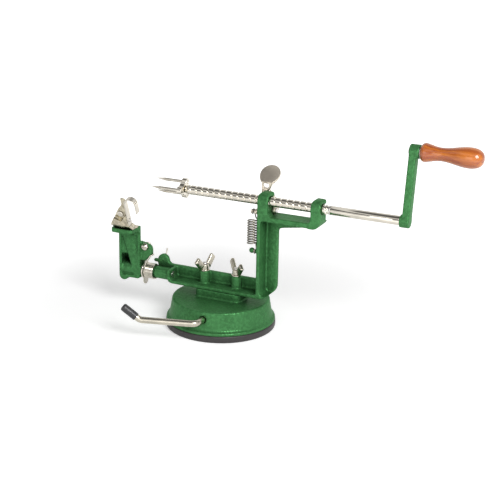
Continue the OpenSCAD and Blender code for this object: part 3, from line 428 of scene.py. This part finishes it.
def skin(name, rings):
    """Joins rings of points into a tube, closed at each end by a fan round its middle."""
    sides = len(rings[0])
    points = [point for ring in rings for point in ring]
    faces = []
    for row in range(len(rings) - 1):
        for side in range(sides):
            after = (side + 1) % sides
            low, high = row * sides, (row + 1) * sides
            faces.append((low + side, low + after, high + after, high + side))
    for row, flip in ((0, True), (len(rings) - 1, False)):
        middle = len(points)
        points.append(sum((Vector(point) for point in rings[row]), Vector()) / sides)
        for side in range(sides):
            a, b = row * sides + side, row * sides + (side + 1) % sides
            faces.append((b, a, middle) if flip else (a, b, middle))
    mesh = bpy.data.meshes.new(name)
    mesh.from_pydata([tuple(point) for point in points], [], faces)
    mesh.validate()
    mesh.update()
    return linked(name, mesh)


def full_turn(sides):
    """Even angles once round."""
    return [2.0 * math.pi * side / sides for side in range(sides)]


def turned(name, axis_y, axis_z, stations, sides):
    """A piece turned round an axis along X, from (x, radius) stations."""
    rings = []
    for x, radius in stations:
        ring = [(radius * math.cos(a), radius * math.sin(a)) for a in full_turn(sides)]
        rings.append([(x, axis_y + across, axis_z + up) for across, up in ring])
    return skin(name, rings)


def curve_through(knots, steps):
    """Points on a smooth curve that passes through every knot."""
    knots = [Vector(knot) for knot in knots]
    knots = [2 * knots[0] - knots[1], *knots, 2 * knots[-1] - knots[-2]]
    points = []
    for index in range(1, len(knots) - 2):
        before, start, end, after = knots[index - 1 : index + 3]
        for step in range(steps):
            t = step / steps
            points.append(
                0.5
                * (
                    2 * start
                    + (end - before) * t
                    + (2 * before - 5 * start + 4 * end - after) * t**2
                    + (3 * start - before - 3 * end + after) * t**3
                )
            )
    return [*points, knots[-2]]


def wire(name, points, radius):
    """A round wire along points, its ends slightly rounded."""
    normal = Vector((1.0, 0.0, 0.0))
    rings = []
    last = len(points) - 1
    for index, point in enumerate(points):
        along = (points[min(index + 1, last)] - points[max(index - 1, 0)]).normalized()
        normal = (normal - normal.dot(along) * along).normalized()
        across = along.cross(normal)
        ring = [(math.cos(a) * normal + math.sin(a) * across) for a in full_turn(WIRE_SIDES)]
        if index == 0:
            rings.append([point - along * radius * 0.3 + 0.6 * radius * spoke for spoke in ring])
        rings.append([point + radius * spoke for spoke in ring])
        if index == last:
            rings.append([point + along * radius * 0.3 + 0.6 * radius * spoke for spoke in ring])
    return skin(name, rings)


def box_of(node):
    """The opposite corners of a node's box."""
    low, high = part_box(node)
    return Vector(low), Vector(high)


def middle_of(node):
    """The middle of a node's box."""
    low, high = box_of(node)
    return (low + high) / 2


def ease(value, start, width):
    """0 up to a start, 1 from a width past it, with level ends between."""
    share = min(1.0, max(0.0, (value - start) / width))
    return share * share * (3.0 - 2.0 * share)


def lamp(name, place, aim, size, power):
    """A square soft lamp at a place, turned to a point."""
    light = bpy.data.lights.new(name, "AREA")
    light.size = size
    light.energy = power
    piece = bpy.data.objects.new(name, light)
    piece.location = place
    piece.rotation_euler = (Vector(aim) - Vector(place)).to_track_quat("-Z", "Y").to_euler()
    bpy.context.scene.collection.objects.link(piece)


# --------------------------------------------------------------- properties


def colour_of(name, description, default):
    """A colour that a user can change."""
    shared = {"subtype": "COLOR", "size": 3, "min": 0.0, "max": 1.0}
    return FloatVectorProperty(name=name, description=description, default=default, **shared)


def size_of(name, description, default, least):
    """A length that a user can change."""
    shared = {"min": least, "unit": "LENGTH"}
    return FloatProperty(name=name, description=description, default=default, **shared)


def rounds_of(name, description, default):
    """A number of passes that a user can change."""
    return IntProperty(name=name, description=description, default=default, min=0)


def light_of(name, description, default, unit="NONE"):
    """The strength of a light that a user can change."""
    return FloatProperty(name=name, description=description, default=default, min=0.0, unit=unit)


class PeelerLook(bpy.types.PropertyGroup):
    """The colours of the finishes and the size of the enamel's dimples."""

    enamel: colour_of("Enamel", "Colour of the castings", (0.046, 0.156, 0.054))
    nickel: colour_of("Nickel", "Colour of the bright plate", (0.66, 0.62, 0.54))
    satin: colour_of("Satin plate", "Colour of the release lever", (0.62, 0.56, 0.47))
    zinc: colour_of("Zinc plate", "Colour of the wing nuts, lever and spring", (0.5, 0.465, 0.385))
    pressed: colour_of("Pressed plate", "Colour of the blade holder", (0.54, 0.49, 0.37))
    steel: colour_of("Steel", "Colour of plain pins and nuts", (0.6, 0.58, 0.55))
    rubber: colour_of("Rubber", "Colour of the suction ring", (0.028, 0.025, 0.025))
    dipped: colour_of("Dipped grip", "Colour of the lever's end", (0.024, 0.024, 0.025))
    wood: colour_of("Wood", "Colour of the turned grip", (0.42, 0.122, 0.014))
    dimple: size_of("Dimple", "Size of the dimples in the enamel", 0.002, 0.0003)


class PeelerWear(bpy.types.PropertyGroup):
    """How finely pieces are meshed and how far their edges are rounded."""

    cast_voxel: size_of("Casting voxel", "Mesh size on large castings", 0.0007, 0.0003)
    sheet_voxel: size_of("Sheet voxel", "Mesh size on sheet pieces", 0.0003, 0.0001)
    rod_voxel: size_of("Rod voxel", "Mesh size on rods and the ring", 0.0005, 0.0002)
    lever_voxel: size_of("Lever voxel", "Mesh size on the release lever", 0.00035, 0.0001)
    cast_rounds: rounds_of("Casting wear", "Smoothing passes on castings", 4)
    sheet_rounds: rounds_of("Sheet wear", "Smoothing passes on sheet pieces", 3)
    dipped_rounds: rounds_of("Dipped wear", "Smoothing passes on the lever's end", 16)
    blade_rounds: rounds_of("Blade wear", "Smoothing passes on the blade", 2)
    prong_rounds: rounds_of("Prong wear", "Smoothing passes on the fork's prongs", 1)


class PeelerStage(bpy.types.PropertyGroup):
    """The floor, the room and the lamps."""

    floor: colour_of("Floor", "Colour of the floor", (0.93, 0.93, 0.93))
    key: light_of("Key", "Power of the main lamp", 16.0, "POWER")
    fill: light_of("Fill", "Power of the front lamp", 2.5, "POWER")
    ambient: light_of("Ambient", "Strength of the room's light", 0.25)
    mirrored: light_of("Mirrored room", "Strength of the dim part of the room in reflections", 0.16)
    glow: light_of("Floor glow", "White that the camera adds to the floor", 0.39)


# ---------------------------------------------------------------- operators


class OBJECT_OT_peeler_plain(bpy.types.Operator):
    """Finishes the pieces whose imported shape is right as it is"""

    bl_idname = "object.peeler_plain"
    bl_label = "Plain pieces"

    def execute(self, context):
        materials = finishes(context.scene.peeler_look)
        for node, piece in NODES.items():
            coat(piece, materials[SLOT_OF[node]])
        return {"FINISHED"}


class OBJECT_OT_peeler_castings(bpy.types.Operator):
    """Gives the painted castings their soft edges and enamel"""

    bl_idname = "object.peeler_castings"
    bl_label = "Castings"

    def execute(self, context):
        wear = context.scene.peeler_wear
        arm_paint = finishes(context.scene.peeler_look)["arm_paint"]
        for node in ("base_shell", "frame_casting", "peel_arm", "crank_arm"):
            piece = worn_copy(node, wear.cast_voxel, wear.cast_rounds, f"painted_{node}")
            # The peeling arm takes the enamel with deeper painted shade.
            seat(piece, node, material=arm_paint if node == "peel_arm" else None)
        return {"FINISHED"}


class OBJECT_OT_peeler_base(bpy.types.Operator):
    """Rounds the rubber ring, the suction lever's rod and its dipped end"""

    bl_idname = "object.peeler_base"
    bl_label = "Ring and lever"

    def execute(self, context):
        wear = context.scene.peeler_wear
        zinc = finishes(context.scene.peeler_look)["zinc"]
        for node, name, rounds, material in (
            ("suction_pad", "rubber_ring", wear.cast_rounds, None),
            ("lever_rod", "bent_lever_rod", wear.cast_rounds, zinc),
            ("lever_grip", "dipped_lever_end", wear.dipped_rounds, None),
        ):
            seat(worn_copy(node, wear.rod_voxel, rounds, name), node, material=material)
        return {"FINISHED"}


class OBJECT_OT_peeler_fasteners(bpy.types.Operator):
    """Rounds the nuts, washers, studs, screws, pins and clips"""

    bl_idname = "object.peeler_fasteners"
    bl_label = "Fasteners"

    def execute(self, context):
        wear = context.scene.peeler_wear
        for node in (
            "washer_left",
            "washer_right",
            "frame_studs",
            "adjuster_screw",
            "adjuster_nut",
            "holder_screw",
            "finger_rivet",
            "blade_rivet",
            "release_pin",
            "arm_pivot_pin",
            "arm_pin_clip",
            "grip_washer",
            "stop_collar",
        ):
            seat(worn_copy(node, wear.sheet_voxel, wear.sheet_rounds, f"rounded_{node}"), node)
        return {"FINISHED"}


class OBJECT_OT_peeler_wing_nuts(bpy.types.Operator):
    """Casts the two wing nuts with thick ears that rise outwards"""

    bl_idname = "object.peeler_wing_nuts"
    bl_label = "Wing nuts"

    ear = (0.0072, 0.0036, 0.0122)
    ear_round = 0.0014
    lean = 42.0
    reach = 0.0086
    rise = 0.0074
    turns = {"wing_nut_left": 78.0, "wing_nut_right": 138.0}

    def execute(self, context):
        wear = context.scene.peeler_wear
        for node, degrees in self.turns.items():
            foot = middle_of(node)
            foot.z = box_of(node)[0].z
            ears = bmesh.new()
            ears.from_mesh(NODES[node].data)
            for side in (0.0, 180.0):
                place = (
                    Matrix.Translation(foot)
                    @ Matrix.Rotation(math.radians(degrees + side), 4, "Z")
                    @ Matrix.Translation((self.reach, 0.0, self.rise))
                    @ Matrix.Rotation(math.radians(self.lean), 4, "Y")
                    @ Matrix.Diagonal((*self.ear, 1.0))
                )
                made = bmesh.ops.create_cube(ears, size=1.0, matrix=place)
                edges = {edge for vertex in made["verts"] for edge in vertex.link_edges}
                rounding = {"offset": self.ear_round, "segments": 3, "profile": 0.5}
                bmesh.ops.bevel(ears, geom=list(edges), affect="EDGES", **rounding)
            mesh = bpy.data.meshes.new(f"{node}_ears")
            ears.to_mesh(mesh)
            ears.free()
            piece = remeshed(mesh, wear.sheet_voxel, wear.sheet_rounds, f"cast_{node}")
            seat(piece, node, material=finishes(context.scene.peeler_look)["zinc"])
        return {"FINISHED"}


class OBJECT_OT_peeler_holder(bpy.types.Operator):
    """Presses the blade holder's folds and gusset into its front flap"""

    bl_idname = "object.peeler_holder"
    bl_label = "Blade holder"

    # The flap's left corner on its fold, and how far its top leans to the front.
    foot = (-0.10606, -0.0285, 0.0905)
    lean = 20.0
    # Places on the flap are (across, height) from that corner.
    fold_top = 0.0035
    flap_depths = (-0.0022, 0.0012)
    flap_w = 0.0225
    # The gusset's top is a V through these three places. It stands out most at the V's foot.
    gusset_left = (0.003, 0.0145)
    gusset_foot = (0.0135, 0.0112)
    gusset_right = (0.0215, 0.021)
    gusset_depth = 0.0021
    left_slant = 0.05
    right_slant = 0.16
    crease_w = 0.0012
    trough_depth = 0.0005
    trough_w = 0.0008
    trough_fade = (0.002, 0.004)
    # Where the finger on top starts, the length it bends over and how far it goes aside and up.
    finger_foot = 0.024
    finger_l = 0.006
    finger_shift = (0.003, 0.0022)

    def execute(self, context):
        wear = context.scene.peeler_wear
        name = "pressed_blade_holder"
        piece = worn_copy("blade_holder", wear.sheet_voxel, wear.sheet_rounds, name)
        lean = math.radians(self.lean)
        foot = Vector(self.foot)
        up = Vector((0.0, -math.sin(lean), math.cos(lean)))
        front = Vector((0.0, -math.cos(lean), -math.sin(lean)))
        side = Vector((1.0, 0.0, 0.0))
        for vertex in piece.data.vertices:
            place = vertex.co - foot
            across, height, depth = place.dot(side), place.dot(up), place.dot(front)
            if height < self.fold_top or not self.flap_depths[0] <= depth <= self.flap_depths[1]:
                continue
            stretch = ease(height, self.finger_foot, self.finger_l)
            aside, upward = self.finger_shift
            vertex.co += side * aside * stretch + up * upward * stretch
            vertex.co += front * self.relief(across, height)
        seat(piece, "blade_holder", material=finishes(context.scene.peeler_look)["stamped"])
        return {"FINISHED"}

    def relief(self, across, height):
        """How far the pressed flap stands forward at a place on it."""
        foot_x, foot_z = self.gusset_foot
        end_x, end_z = self.gusset_left if across < foot_x else self.gusset_right
        slope = (end_z - foot_z) / (end_x - foot_x)
        line = foot_z + slope * (across - foot_x)
        if across < foot_x:
            slant = self.left_slant * (foot_x - across)
        else:
            slant = self.right_slant * (across - foot_x)
        above = height - line
        shelf = max(0.0, self.gusset_depth - slant) * ease(height, self.fold_top, 0.003)
        shelf *= 1.0 - ease(above, -self.crease_w / 3, self.crease_w)
        trough = self.trough_depth * ease(above, 0.0, self.trough_w)
        trough *= 1.0 - ease(above, *self.trough_fade)
        edges = ease(across, -0.001, 0.003) * (1.0 - ease(across, self.flap_w, 0.002))
        return (shelf - trough) * edges


class OBJECT_OT_peeler_head(bpy.types.Operator):
    """Softens the blade and the latch"""

    bl_idname = "object.peeler_head"
    bl_label = "Peeling head"

    def execute(self, context):
        wear = context.scene.peeler_wear
        latch = worn_copy("arm_latch", wear.sheet_voxel, wear.sheet_rounds, "stamped_latch")
        blade = worn_copy("peel_blade", THIN * wear.sheet_voxel, wear.blade_rounds, "honed_blade")
        seat(latch, "arm_latch")
        seat(blade, "peel_blade")
        return {"FINISHED"}


class OBJECT_OT_peeler_screw(bpy.types.Operator):
    """Cuts the feed screw's thread as one smooth rolled skin"""

    bl_idname = "object.peeler_screw"
    bl_label = "Feed screw"

    pitch = 0.00635
    crest_r = 0.00465
    root_r = 0.0038
    shaft_r = 0.0044
    journal_r = 0.003
    journal_l = 0.0012
    neck_r = 0.0034
    chamfer = 0.0003
    shoulder = 0.0001
    gap = 0.00015
    lead_in = 0.0009
    # The shares of the pitch that the groove's floor and each of its flanks take up.
    floor_share = 0.08
    flank_share = 0.09
    rows_a_turn = 32
    sides = 48

    def execute(self, context):
        low, high = box_of("feed_screw")
        collar_low, collar_high = box_of("stop_collar")
        axis = middle_of("stop_collar")
        start = box_of("fork_plate")[1].x + self.journal_l
        end = collar_low.x - self.gap
        groove_end = collar_high.x + self.gap
        turn = full_turn(self.sides)

        def ring(x, radii):
            return [
                (x, axis.y + radius * math.sin(a), axis.z - radius * math.cos(a))
                for a, radius in zip(turn, radii)
            ]

        def plain(*stations):
            return [ring(x, [radius] * self.sides) for x, radius in stations]

        chamfer = self.chamfer
        rings = plain(
            (low.x, self.journal_r - chamfer),
            (low.x + chamfer, self.journal_r),
            (start - self.shoulder, self.journal_r),
            (start, self.root_r),
        )
        rows = round((end - start) / self.pitch * self.rows_a_turn)
        for row in range(1, rows):
            x = start + (end - start) * row / rows
            rings.append(ring(x, [self.thread_radius(x, a, start, end) for a in turn]))
        rings += plain(
            (end, self.neck_r),
            (groove_end, self.neck_r),
            (groove_end + self.shoulder, self.shaft_r - chamfer),
            (groove_end + self.shoulder + chamfer, self.shaft_r),
            (high.x - chamfer, self.shaft_r),
            (high.x, self.shaft_r - chamfer),
        )
        piece = skin("rolled_feed_screw", rings)
        seat(piece, "feed_screw", material=finishes(context.scene.peeler_look)["screw"])
        return {"FINISHED"}

    def thread_radius(self, x, angle, start, end):
        """The screw's radius at a place along it and an angle round it."""
        phase = ((x - start - self.lead_in) / self.pitch - angle / (2.0 * math.pi)) % 1.0
        flank = ease(phase, self.floor_share, self.flank_share)
        flank *= ease(1.0 - phase, 0.0, self.flank_share)
        fade = ease(x, start, 0.5 * self.pitch) * ease(end - x, 0.0, 0.5 * self.pitch)
        return self.root_r + (self.crest_r - self.root_r) * flank * fade


class OBJECT_OT_peeler_fork(bpy.types.Operator):
    """Softens the fork's plate and its three prongs"""

    bl_idname = "object.peeler_fork"
    bl_label = "Fork"

    def execute(self, context):
        wear = context.scene.peeler_wear
        fine = THIN * wear.sheet_voxel
        plate = worn_copy("fork_plate", wear.sheet_voxel, wear.cast_rounds, "cast_fork_plate")
        prongs = worn_copy("fork_prongs", fine, wear.prong_rounds, "ground_fork_prongs")
        seat(plate, "fork_plate")
        seat(prongs, "fork_prongs")
        return {"FINISHED"}


class OBJECT_OT_peeler_grip(bpy.types.Operator):
    """Turns the wooden grip on a lathe"""

    bl_idname = "object.peeler_grip"
    bl_label = "Wooden grip"

    sides = 72

    def execute(self, context):
        low, high = box_of("wooden_grip")
        axis = middle_of("wooden_grip")
        length = high.x - low.x
        radius = (high.y - low.y) / 2
        # Shares of the length and of the greatest radius.
        knots = (
            (0.0, 0.62),
            (0.006, 0.74),
            (0.022, 0.84),
            (0.055, 0.918),
            (0.085, 0.9),
            (0.15, 0.81),
            (0.22, 0.71),
            (0.3, 0.648),
            (0.38, 0.66),
            (0.47, 0.735),
            (0.58, 0.865),
            (0.68, 0.965),
            (0.765, 1.0),
            (0.84, 0.975),
            (0.91, 0.86),
            (0.96, 0.66),
            (0.985, 0.44),
            (0.997, 0.2),
            (1.0, 0.05),
        )
        places = [(low.x + along * length, share * radius, 0.0) for along, share in knots]
        outline = curve_through(places, 6)
        stations = [(min(point.x, high.x), min(point.y, radius)) for point in outline]
        seat(turned("turned_grip", axis.y, axis.z, stations, self.sides), "wooden_grip")
        return {"FINISHED"}


class OBJECT_OT_peeler_release(bpy.types.Operator):
    """Presses the release lever with its dished thumb paddle"""

    bl_idname = "object.peeler_release"
    bl_label = "Release lever"

    dish = 0.0011
    dish_w, dish_l = 0.02, 0.0212
    paddle_l = 0.0207
    lean = 50.0
    # Where the paddle bends off the stem, its middle as a share of its length, and how near
    # to its plane a place still belongs to it.
    bend_y = 0.006
    middle = 0.52
    off_centre = -0.0003
    near = 0.006

    def execute(self, context):
        wear = context.scene.peeler_wear
        name = "pressed_release_lever"
        piece = worn_copy("release_lever", wear.lever_voxel, wear.sheet_rounds, name)
        lean = math.radians(self.lean)
        along = Vector((0.0, math.sin(lean), math.cos(lean)))
        back = Vector((0.0, math.cos(lean), -math.sin(lean)))
        bend_x = middle_of("release_lever").x + self.off_centre
        bend_z = box_of("release_lever")[1].z - self.paddle_l * math.cos(lean)
        bend = Vector((bend_x, self.bend_y, bend_z))
        reach = self.middle * self.paddle_l
        for vertex in piece.data.vertices:
            place = vertex.co - bend - along * reach
            up = place.dot(along)
            if vertex.co.z > bend_z and abs(place.dot(back)) < self.near and up > -reach:
                share = (2.0 * place.x / self.dish_w) ** 2 + (2.0 * up / self.dish_l) ** 2
                vertex.co += back * self.dish * max(0.0, 1.0 - share)
        seat(piece, "release_lever")
        return {"FINISHED"}


class OBJECT_OT_peeler_release_spring(bpy.types.Operator):
    """Winds the release lever's tension spring"""

    bl_idname = "object.peeler_release_spring"
    bl_label = "Release spring"

    wire_r = 0.0006
    coil_r = 0.0046
    hook_r = 0.0024
    turns = 10
    pitch = 0.00245
    steps = 24
    # How far each hook stands off the coil's axis, and the coil's start over the lower hook.
    foot_x = 0.0033
    head_x = 0.00095
    rise = 0.0064

    def execute(self, context):
        low, high = box_of("release_spring")
        x, y = low.x + self.coil_r + self.wire_r, middle_of("release_spring").y
        reach = self.hook_r + self.wire_r
        foot = Vector((x + self.foot_x, y, low.z + reach))
        head = Vector((x + self.head_x, y, high.z - reach))

        def hook(centre, degrees):
            a = math.radians(degrees)
            return centre + Vector((0.0, self.hook_r * math.cos(a), self.hook_r * math.sin(a)))

        knots = [hook(foot, degrees) for degrees in range(-240, 1, 30)]
        knots.append(foot + Vector((-0.0001, self.hook_r + 0.0002, 0.0024)))
        knots.append(foot + Vector((-0.0007, self.hook_r + 0.0008, 0.0046)))
        for step in range(self.turns * self.steps + 1):
            a = math.radians(60.0) + 2.0 * math.pi * step / self.steps
            z = foot.z + self.rise + step * self.pitch / self.steps
            knots.append(Vector((x + self.coil_r * math.cos(a), y + self.coil_r * math.sin(a), z)))
        knots.append(head + Vector((0.0009, self.hook_r + 0.0005, -0.0056)))
        knots.append(head + Vector((0.0003, self.hook_r + 0.0001, -0.0026)))
        knots.extend(hook(head, degrees) for degrees in range(0, 241, 30))
        piece = wire("wound_release_spring", curve_through(knots, 3), self.wire_r)
        material = finishes(context.scene.peeler_look)["spring"]
        ends = (tuple(foot), tuple(head))
        seat(piece, "release_spring", material, stretches=("stand", "release_body", *ends))
        return {"FINISHED"}


class OBJECT_OT_peeler_arm_spring(bpy.types.Operator):
    """Winds the peeling arm's torsion spring and its two legs"""

    bl_idname = "object.peeler_arm_spring"
    bl_label = "Arm spring"

    wire_r = 0.00075
    coil_r = 0.0072
    pitch = 0.00156
    turns = 6.25
    steps = 28

    def execute(self, context):
        low, high = box_of("arm_spring")
        pin = middle_of("arm_pivot_pin")
        start = low.x + self.wire_r
        end = start + int(self.turns) * self.pitch
        rear = high.y - self.wire_r - pin.y
        count = round(self.turns * self.steps)

        def at(x, across, up):
            return (x, pin.y + across, pin.z + up)

        coil = []
        for step in range(count + 1):
            a = math.pi + 2.0 * math.pi * self.turns * step / count
            x = start + (end - start) * step / count
            coil.append(at(x, self.coil_r * math.cos(a), self.coil_r * math.sin(a)))
        back_leg = [
            at(end, 0.003, -self.coil_r),
            at(end, rear - 0.0022, -self.coil_r),
            at(end, rear - 0.0006, -self.coil_r + 0.0007),
            at(end + 0.0002, rear, -self.coil_r + 0.0024),
            at(end + 0.0056, rear, 0.021),
        ]
        body = wire("wound_arm_spring", curve_through(coil + back_leg, 2), self.wire_r)
        leg_x = start + 0.00885
        front_leg = [
            at(leg_x, 0.0045 - self.coil_r, 0.0188),
            at(leg_x, 0.0014 - self.coil_r, 0.0188),
            at(leg_x - 0.0005, 0.0003 - self.coil_r, 0.0185),
            at(leg_x - 0.0016, -self.coil_r, 0.0174),
            at(start + 0.0024, -self.coil_r, 0.0095),
            at(start + 0.0005, -self.coil_r, 0.0032),
            at(start, -self.coil_r, 0.0),
        ]
        leg = wire("arm_spring_leg", curve_through(front_leg, 8), self.wire_r)
        ends = (at(end, 0.0, 0.0), at(start, 0.0, 0.0))
        seat(body, "arm_spring", stretches=("stand", "arm_body", *ends))
        seat(leg, "arm_spring")
        return {"FINISHED"}


class SCENE_OT_peeler_stage(bpy.types.Operator):
    """Adds the floor, the room, the lamps and the camera"""

    bl_idname = "scene.peeler_stage"
    bl_label = "Stage"

    target = (0.03, 0.0, 0.1)
    key_place, key_size = (0.92, -0.76, 0.85), 0.58
    fill_place, fill_size = (0.1, -1.35, 0.45), 0.7
    floor_reach = 6.0
    # How far from the middle the floor's glow starts to rise and is full.
    glow_rise = (0.14, 0.5)
    # Where the mirrored room's dim parts start and end, in the height of a direction one long,
    # and how far to the back they last.
    strip_foot, strip_top = (0.24, 0.34), (0.52, 0.6)
    ceiling = (0.74, 0.86)
    behind = (0.1, 0.7)
    # The camera's place, and which way its right, its top and its back point.
    camera_place = (0.5109, -1.0372, 0.4608)
    camera_right = (0.9034, 0.4285, 0.0172)
    camera_up = (-0.1487, 0.2753, 0.9498)
    camera_back = (0.4022, -0.8606, 0.3124)
    lens = 91.75

    def execute(self, context):
        stage = context.scene.peeler_stage
        self.lay_floor(stage)
        self.paint_room(stage)
        lamp("key_lamp", self.key_place, self.target, self.key_size, stage.key)
        lamp("fill_lamp", self.fill_place, self.target, self.fill_size, stage.fill)
        self.set_camera(context)
        return {"FINISHED"}

    def lay_floor(self, stage):
        """White paper; far from the middle it is lit up until nothing shades it."""
        mesh = bpy.data.meshes.new("floor")
        far = self.floor_reach
        corners = [(-far, -far, 0.0), (far, -far, 0.0), (far, far, 0.0), (-far, far, 0.0)]
        mesh.from_pydata(corners, [], [(0, 1, 2, 3)])
        floor = bpy.data.objects.new("floor", mesh)
        bpy.context.scene.collection.objects.link(floor)
        graph = paint("floor_paper")
        seen = graph.add("ShaderNodeLightPath", output="Is Camera Ray")
        mirrored = graph.add("ShaderNodeLightPath", output="Is Glossy Ray")
        settings = {"operation": "LENGTH"}
        away = graph.add("ShaderNodeVectorMath", settings, {0: graph.position()}, "Value")
        glow = graph.blend(graph.step(away, *self.glow_rise), (stage.glow,) * 3, WHITE)
        paper = {
            "Base Color": tuple(stage.floor),
            "Roughness": 0.9,
            "Specular IOR Level": 0.0,
            "Emission Color": graph.blend(seen + mirrored, BLACK, glow),
            "Emission Strength": 1.0,
        }
        mesh.materials.append(graph.finish(paper))

    def paint_room(self, stage):
        """White, but mirrored with a dim strip in front and a dim ceiling."""
        world = bpy.data.worlds.new("room")
        graph = Graph(world)
        seen = graph.add("ShaderNodeLightPath", output="Is Camera Ray")
        mirrored = graph.add("ShaderNodeLightPath", output="Is Glossy Ray")
        direction = graph.add("ShaderNodeTexCoord", output="Generated")
        back = graph.add("ShaderNodeSeparateXYZ", None, {"Vector": direction}, "Y")
        height = graph.add("ShaderNodeSeparateXYZ", None, {"Vector": direction}, "Z")
        strip = graph.step(height, *self.strip_foot) * (1.0 - graph.step(height, *self.strip_top))
        overhead = graph.step(height, *self.ceiling)
        dim = (strip + overhead) * (1.0 - graph.step(back, *self.behind))
        walls = graph.blend(dim, WHITE, (stage.mirrored,) * 3)
        light = graph.blend(mirrored, (stage.ambient,) * 3, walls)
        colour = graph.blend(seen, light, WHITE)
        shader = graph.add("ShaderNodeBackground", None, {"Color": colour, "Strength": 1.0})
        graph.add("ShaderNodeOutputWorld", None, {"Surface": shader})
        bpy.context.scene.world = world

    def set_camera(self, context):
        """Looks at the piece from the front, a little from the right and above."""
        turn = Matrix((self.camera_right, self.camera_up, self.camera_back)).transposed()
        data = bpy.data.cameras.new("camera")
        data.lens = self.lens
        data.sensor_width = 36.0
        data.clip_end = 20.0
        camera = bpy.data.objects.new("camera", data)
        camera.matrix_world = Matrix.Translation(self.camera_place) @ turn.to_4x4()
        context.scene.collection.objects.link(camera)
        context.scene.camera = camera
        context.scene.view_settings.view_transform = "Standard"


OPERATORS = (
    OBJECT_OT_peeler_plain,
    OBJECT_OT_peeler_castings,
    OBJECT_OT_peeler_base,
    OBJECT_OT_peeler_fasteners,
    OBJECT_OT_peeler_wing_nuts,
    OBJECT_OT_peeler_holder,
    OBJECT_OT_peeler_head,
    OBJECT_OT_peeler_screw,
    OBJECT_OT_peeler_fork,
    OBJECT_OT_peeler_grip,
    OBJECT_OT_peeler_release,
    OBJECT_OT_peeler_release_spring,
    OBJECT_OT_peeler_arm_spring,
    SCENE_OT_peeler_stage,
)


class VIEW3D_PT_peeler(bpy.types.Panel):
    """Lists the steps in the sidebar"""

    bl_label = "Peeler"
    bl_idname = "VIEW3D_PT_peeler"
    bl_space_type = "VIEW_3D"
    bl_region_type = "UI"
    bl_category = "Peeler"

    def draw(self, context):
        for operator in OPERATORS:
            self.layout.operator(operator.bl_idname)
        for settings in GROUPS:
            group = getattr(context.scene, settings)
            box = self.layout.box()
            for name in group.__annotations__:
                box.prop(group, name)


GROUPS = {"peeler_look": PeelerLook, "peeler_wear": PeelerWear, "peeler_stage": PeelerStage}
CLASSES = (*GROUPS.values(), *OPERATORS, VIEW3D_PT_peeler)


def register():
    for made in CLASSES:
        bpy.utils.register_class(made)
    for name, group in GROUPS.items():
        setattr(bpy.types.Scene, name, PointerProperty(type=group))


def unregister():
    for name in GROUPS:
        delattr(bpy.types.Scene, name)
    for made in reversed(CLASSES):
        bpy.utils.unregister_class(made)


def main():
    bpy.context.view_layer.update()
    register()
    for operator in OPERATORS:
        group, name = operator.bl_idname.split(".")
        getattr(getattr(bpy.ops, group), name)()


if __name__ == "__main__":
    main()
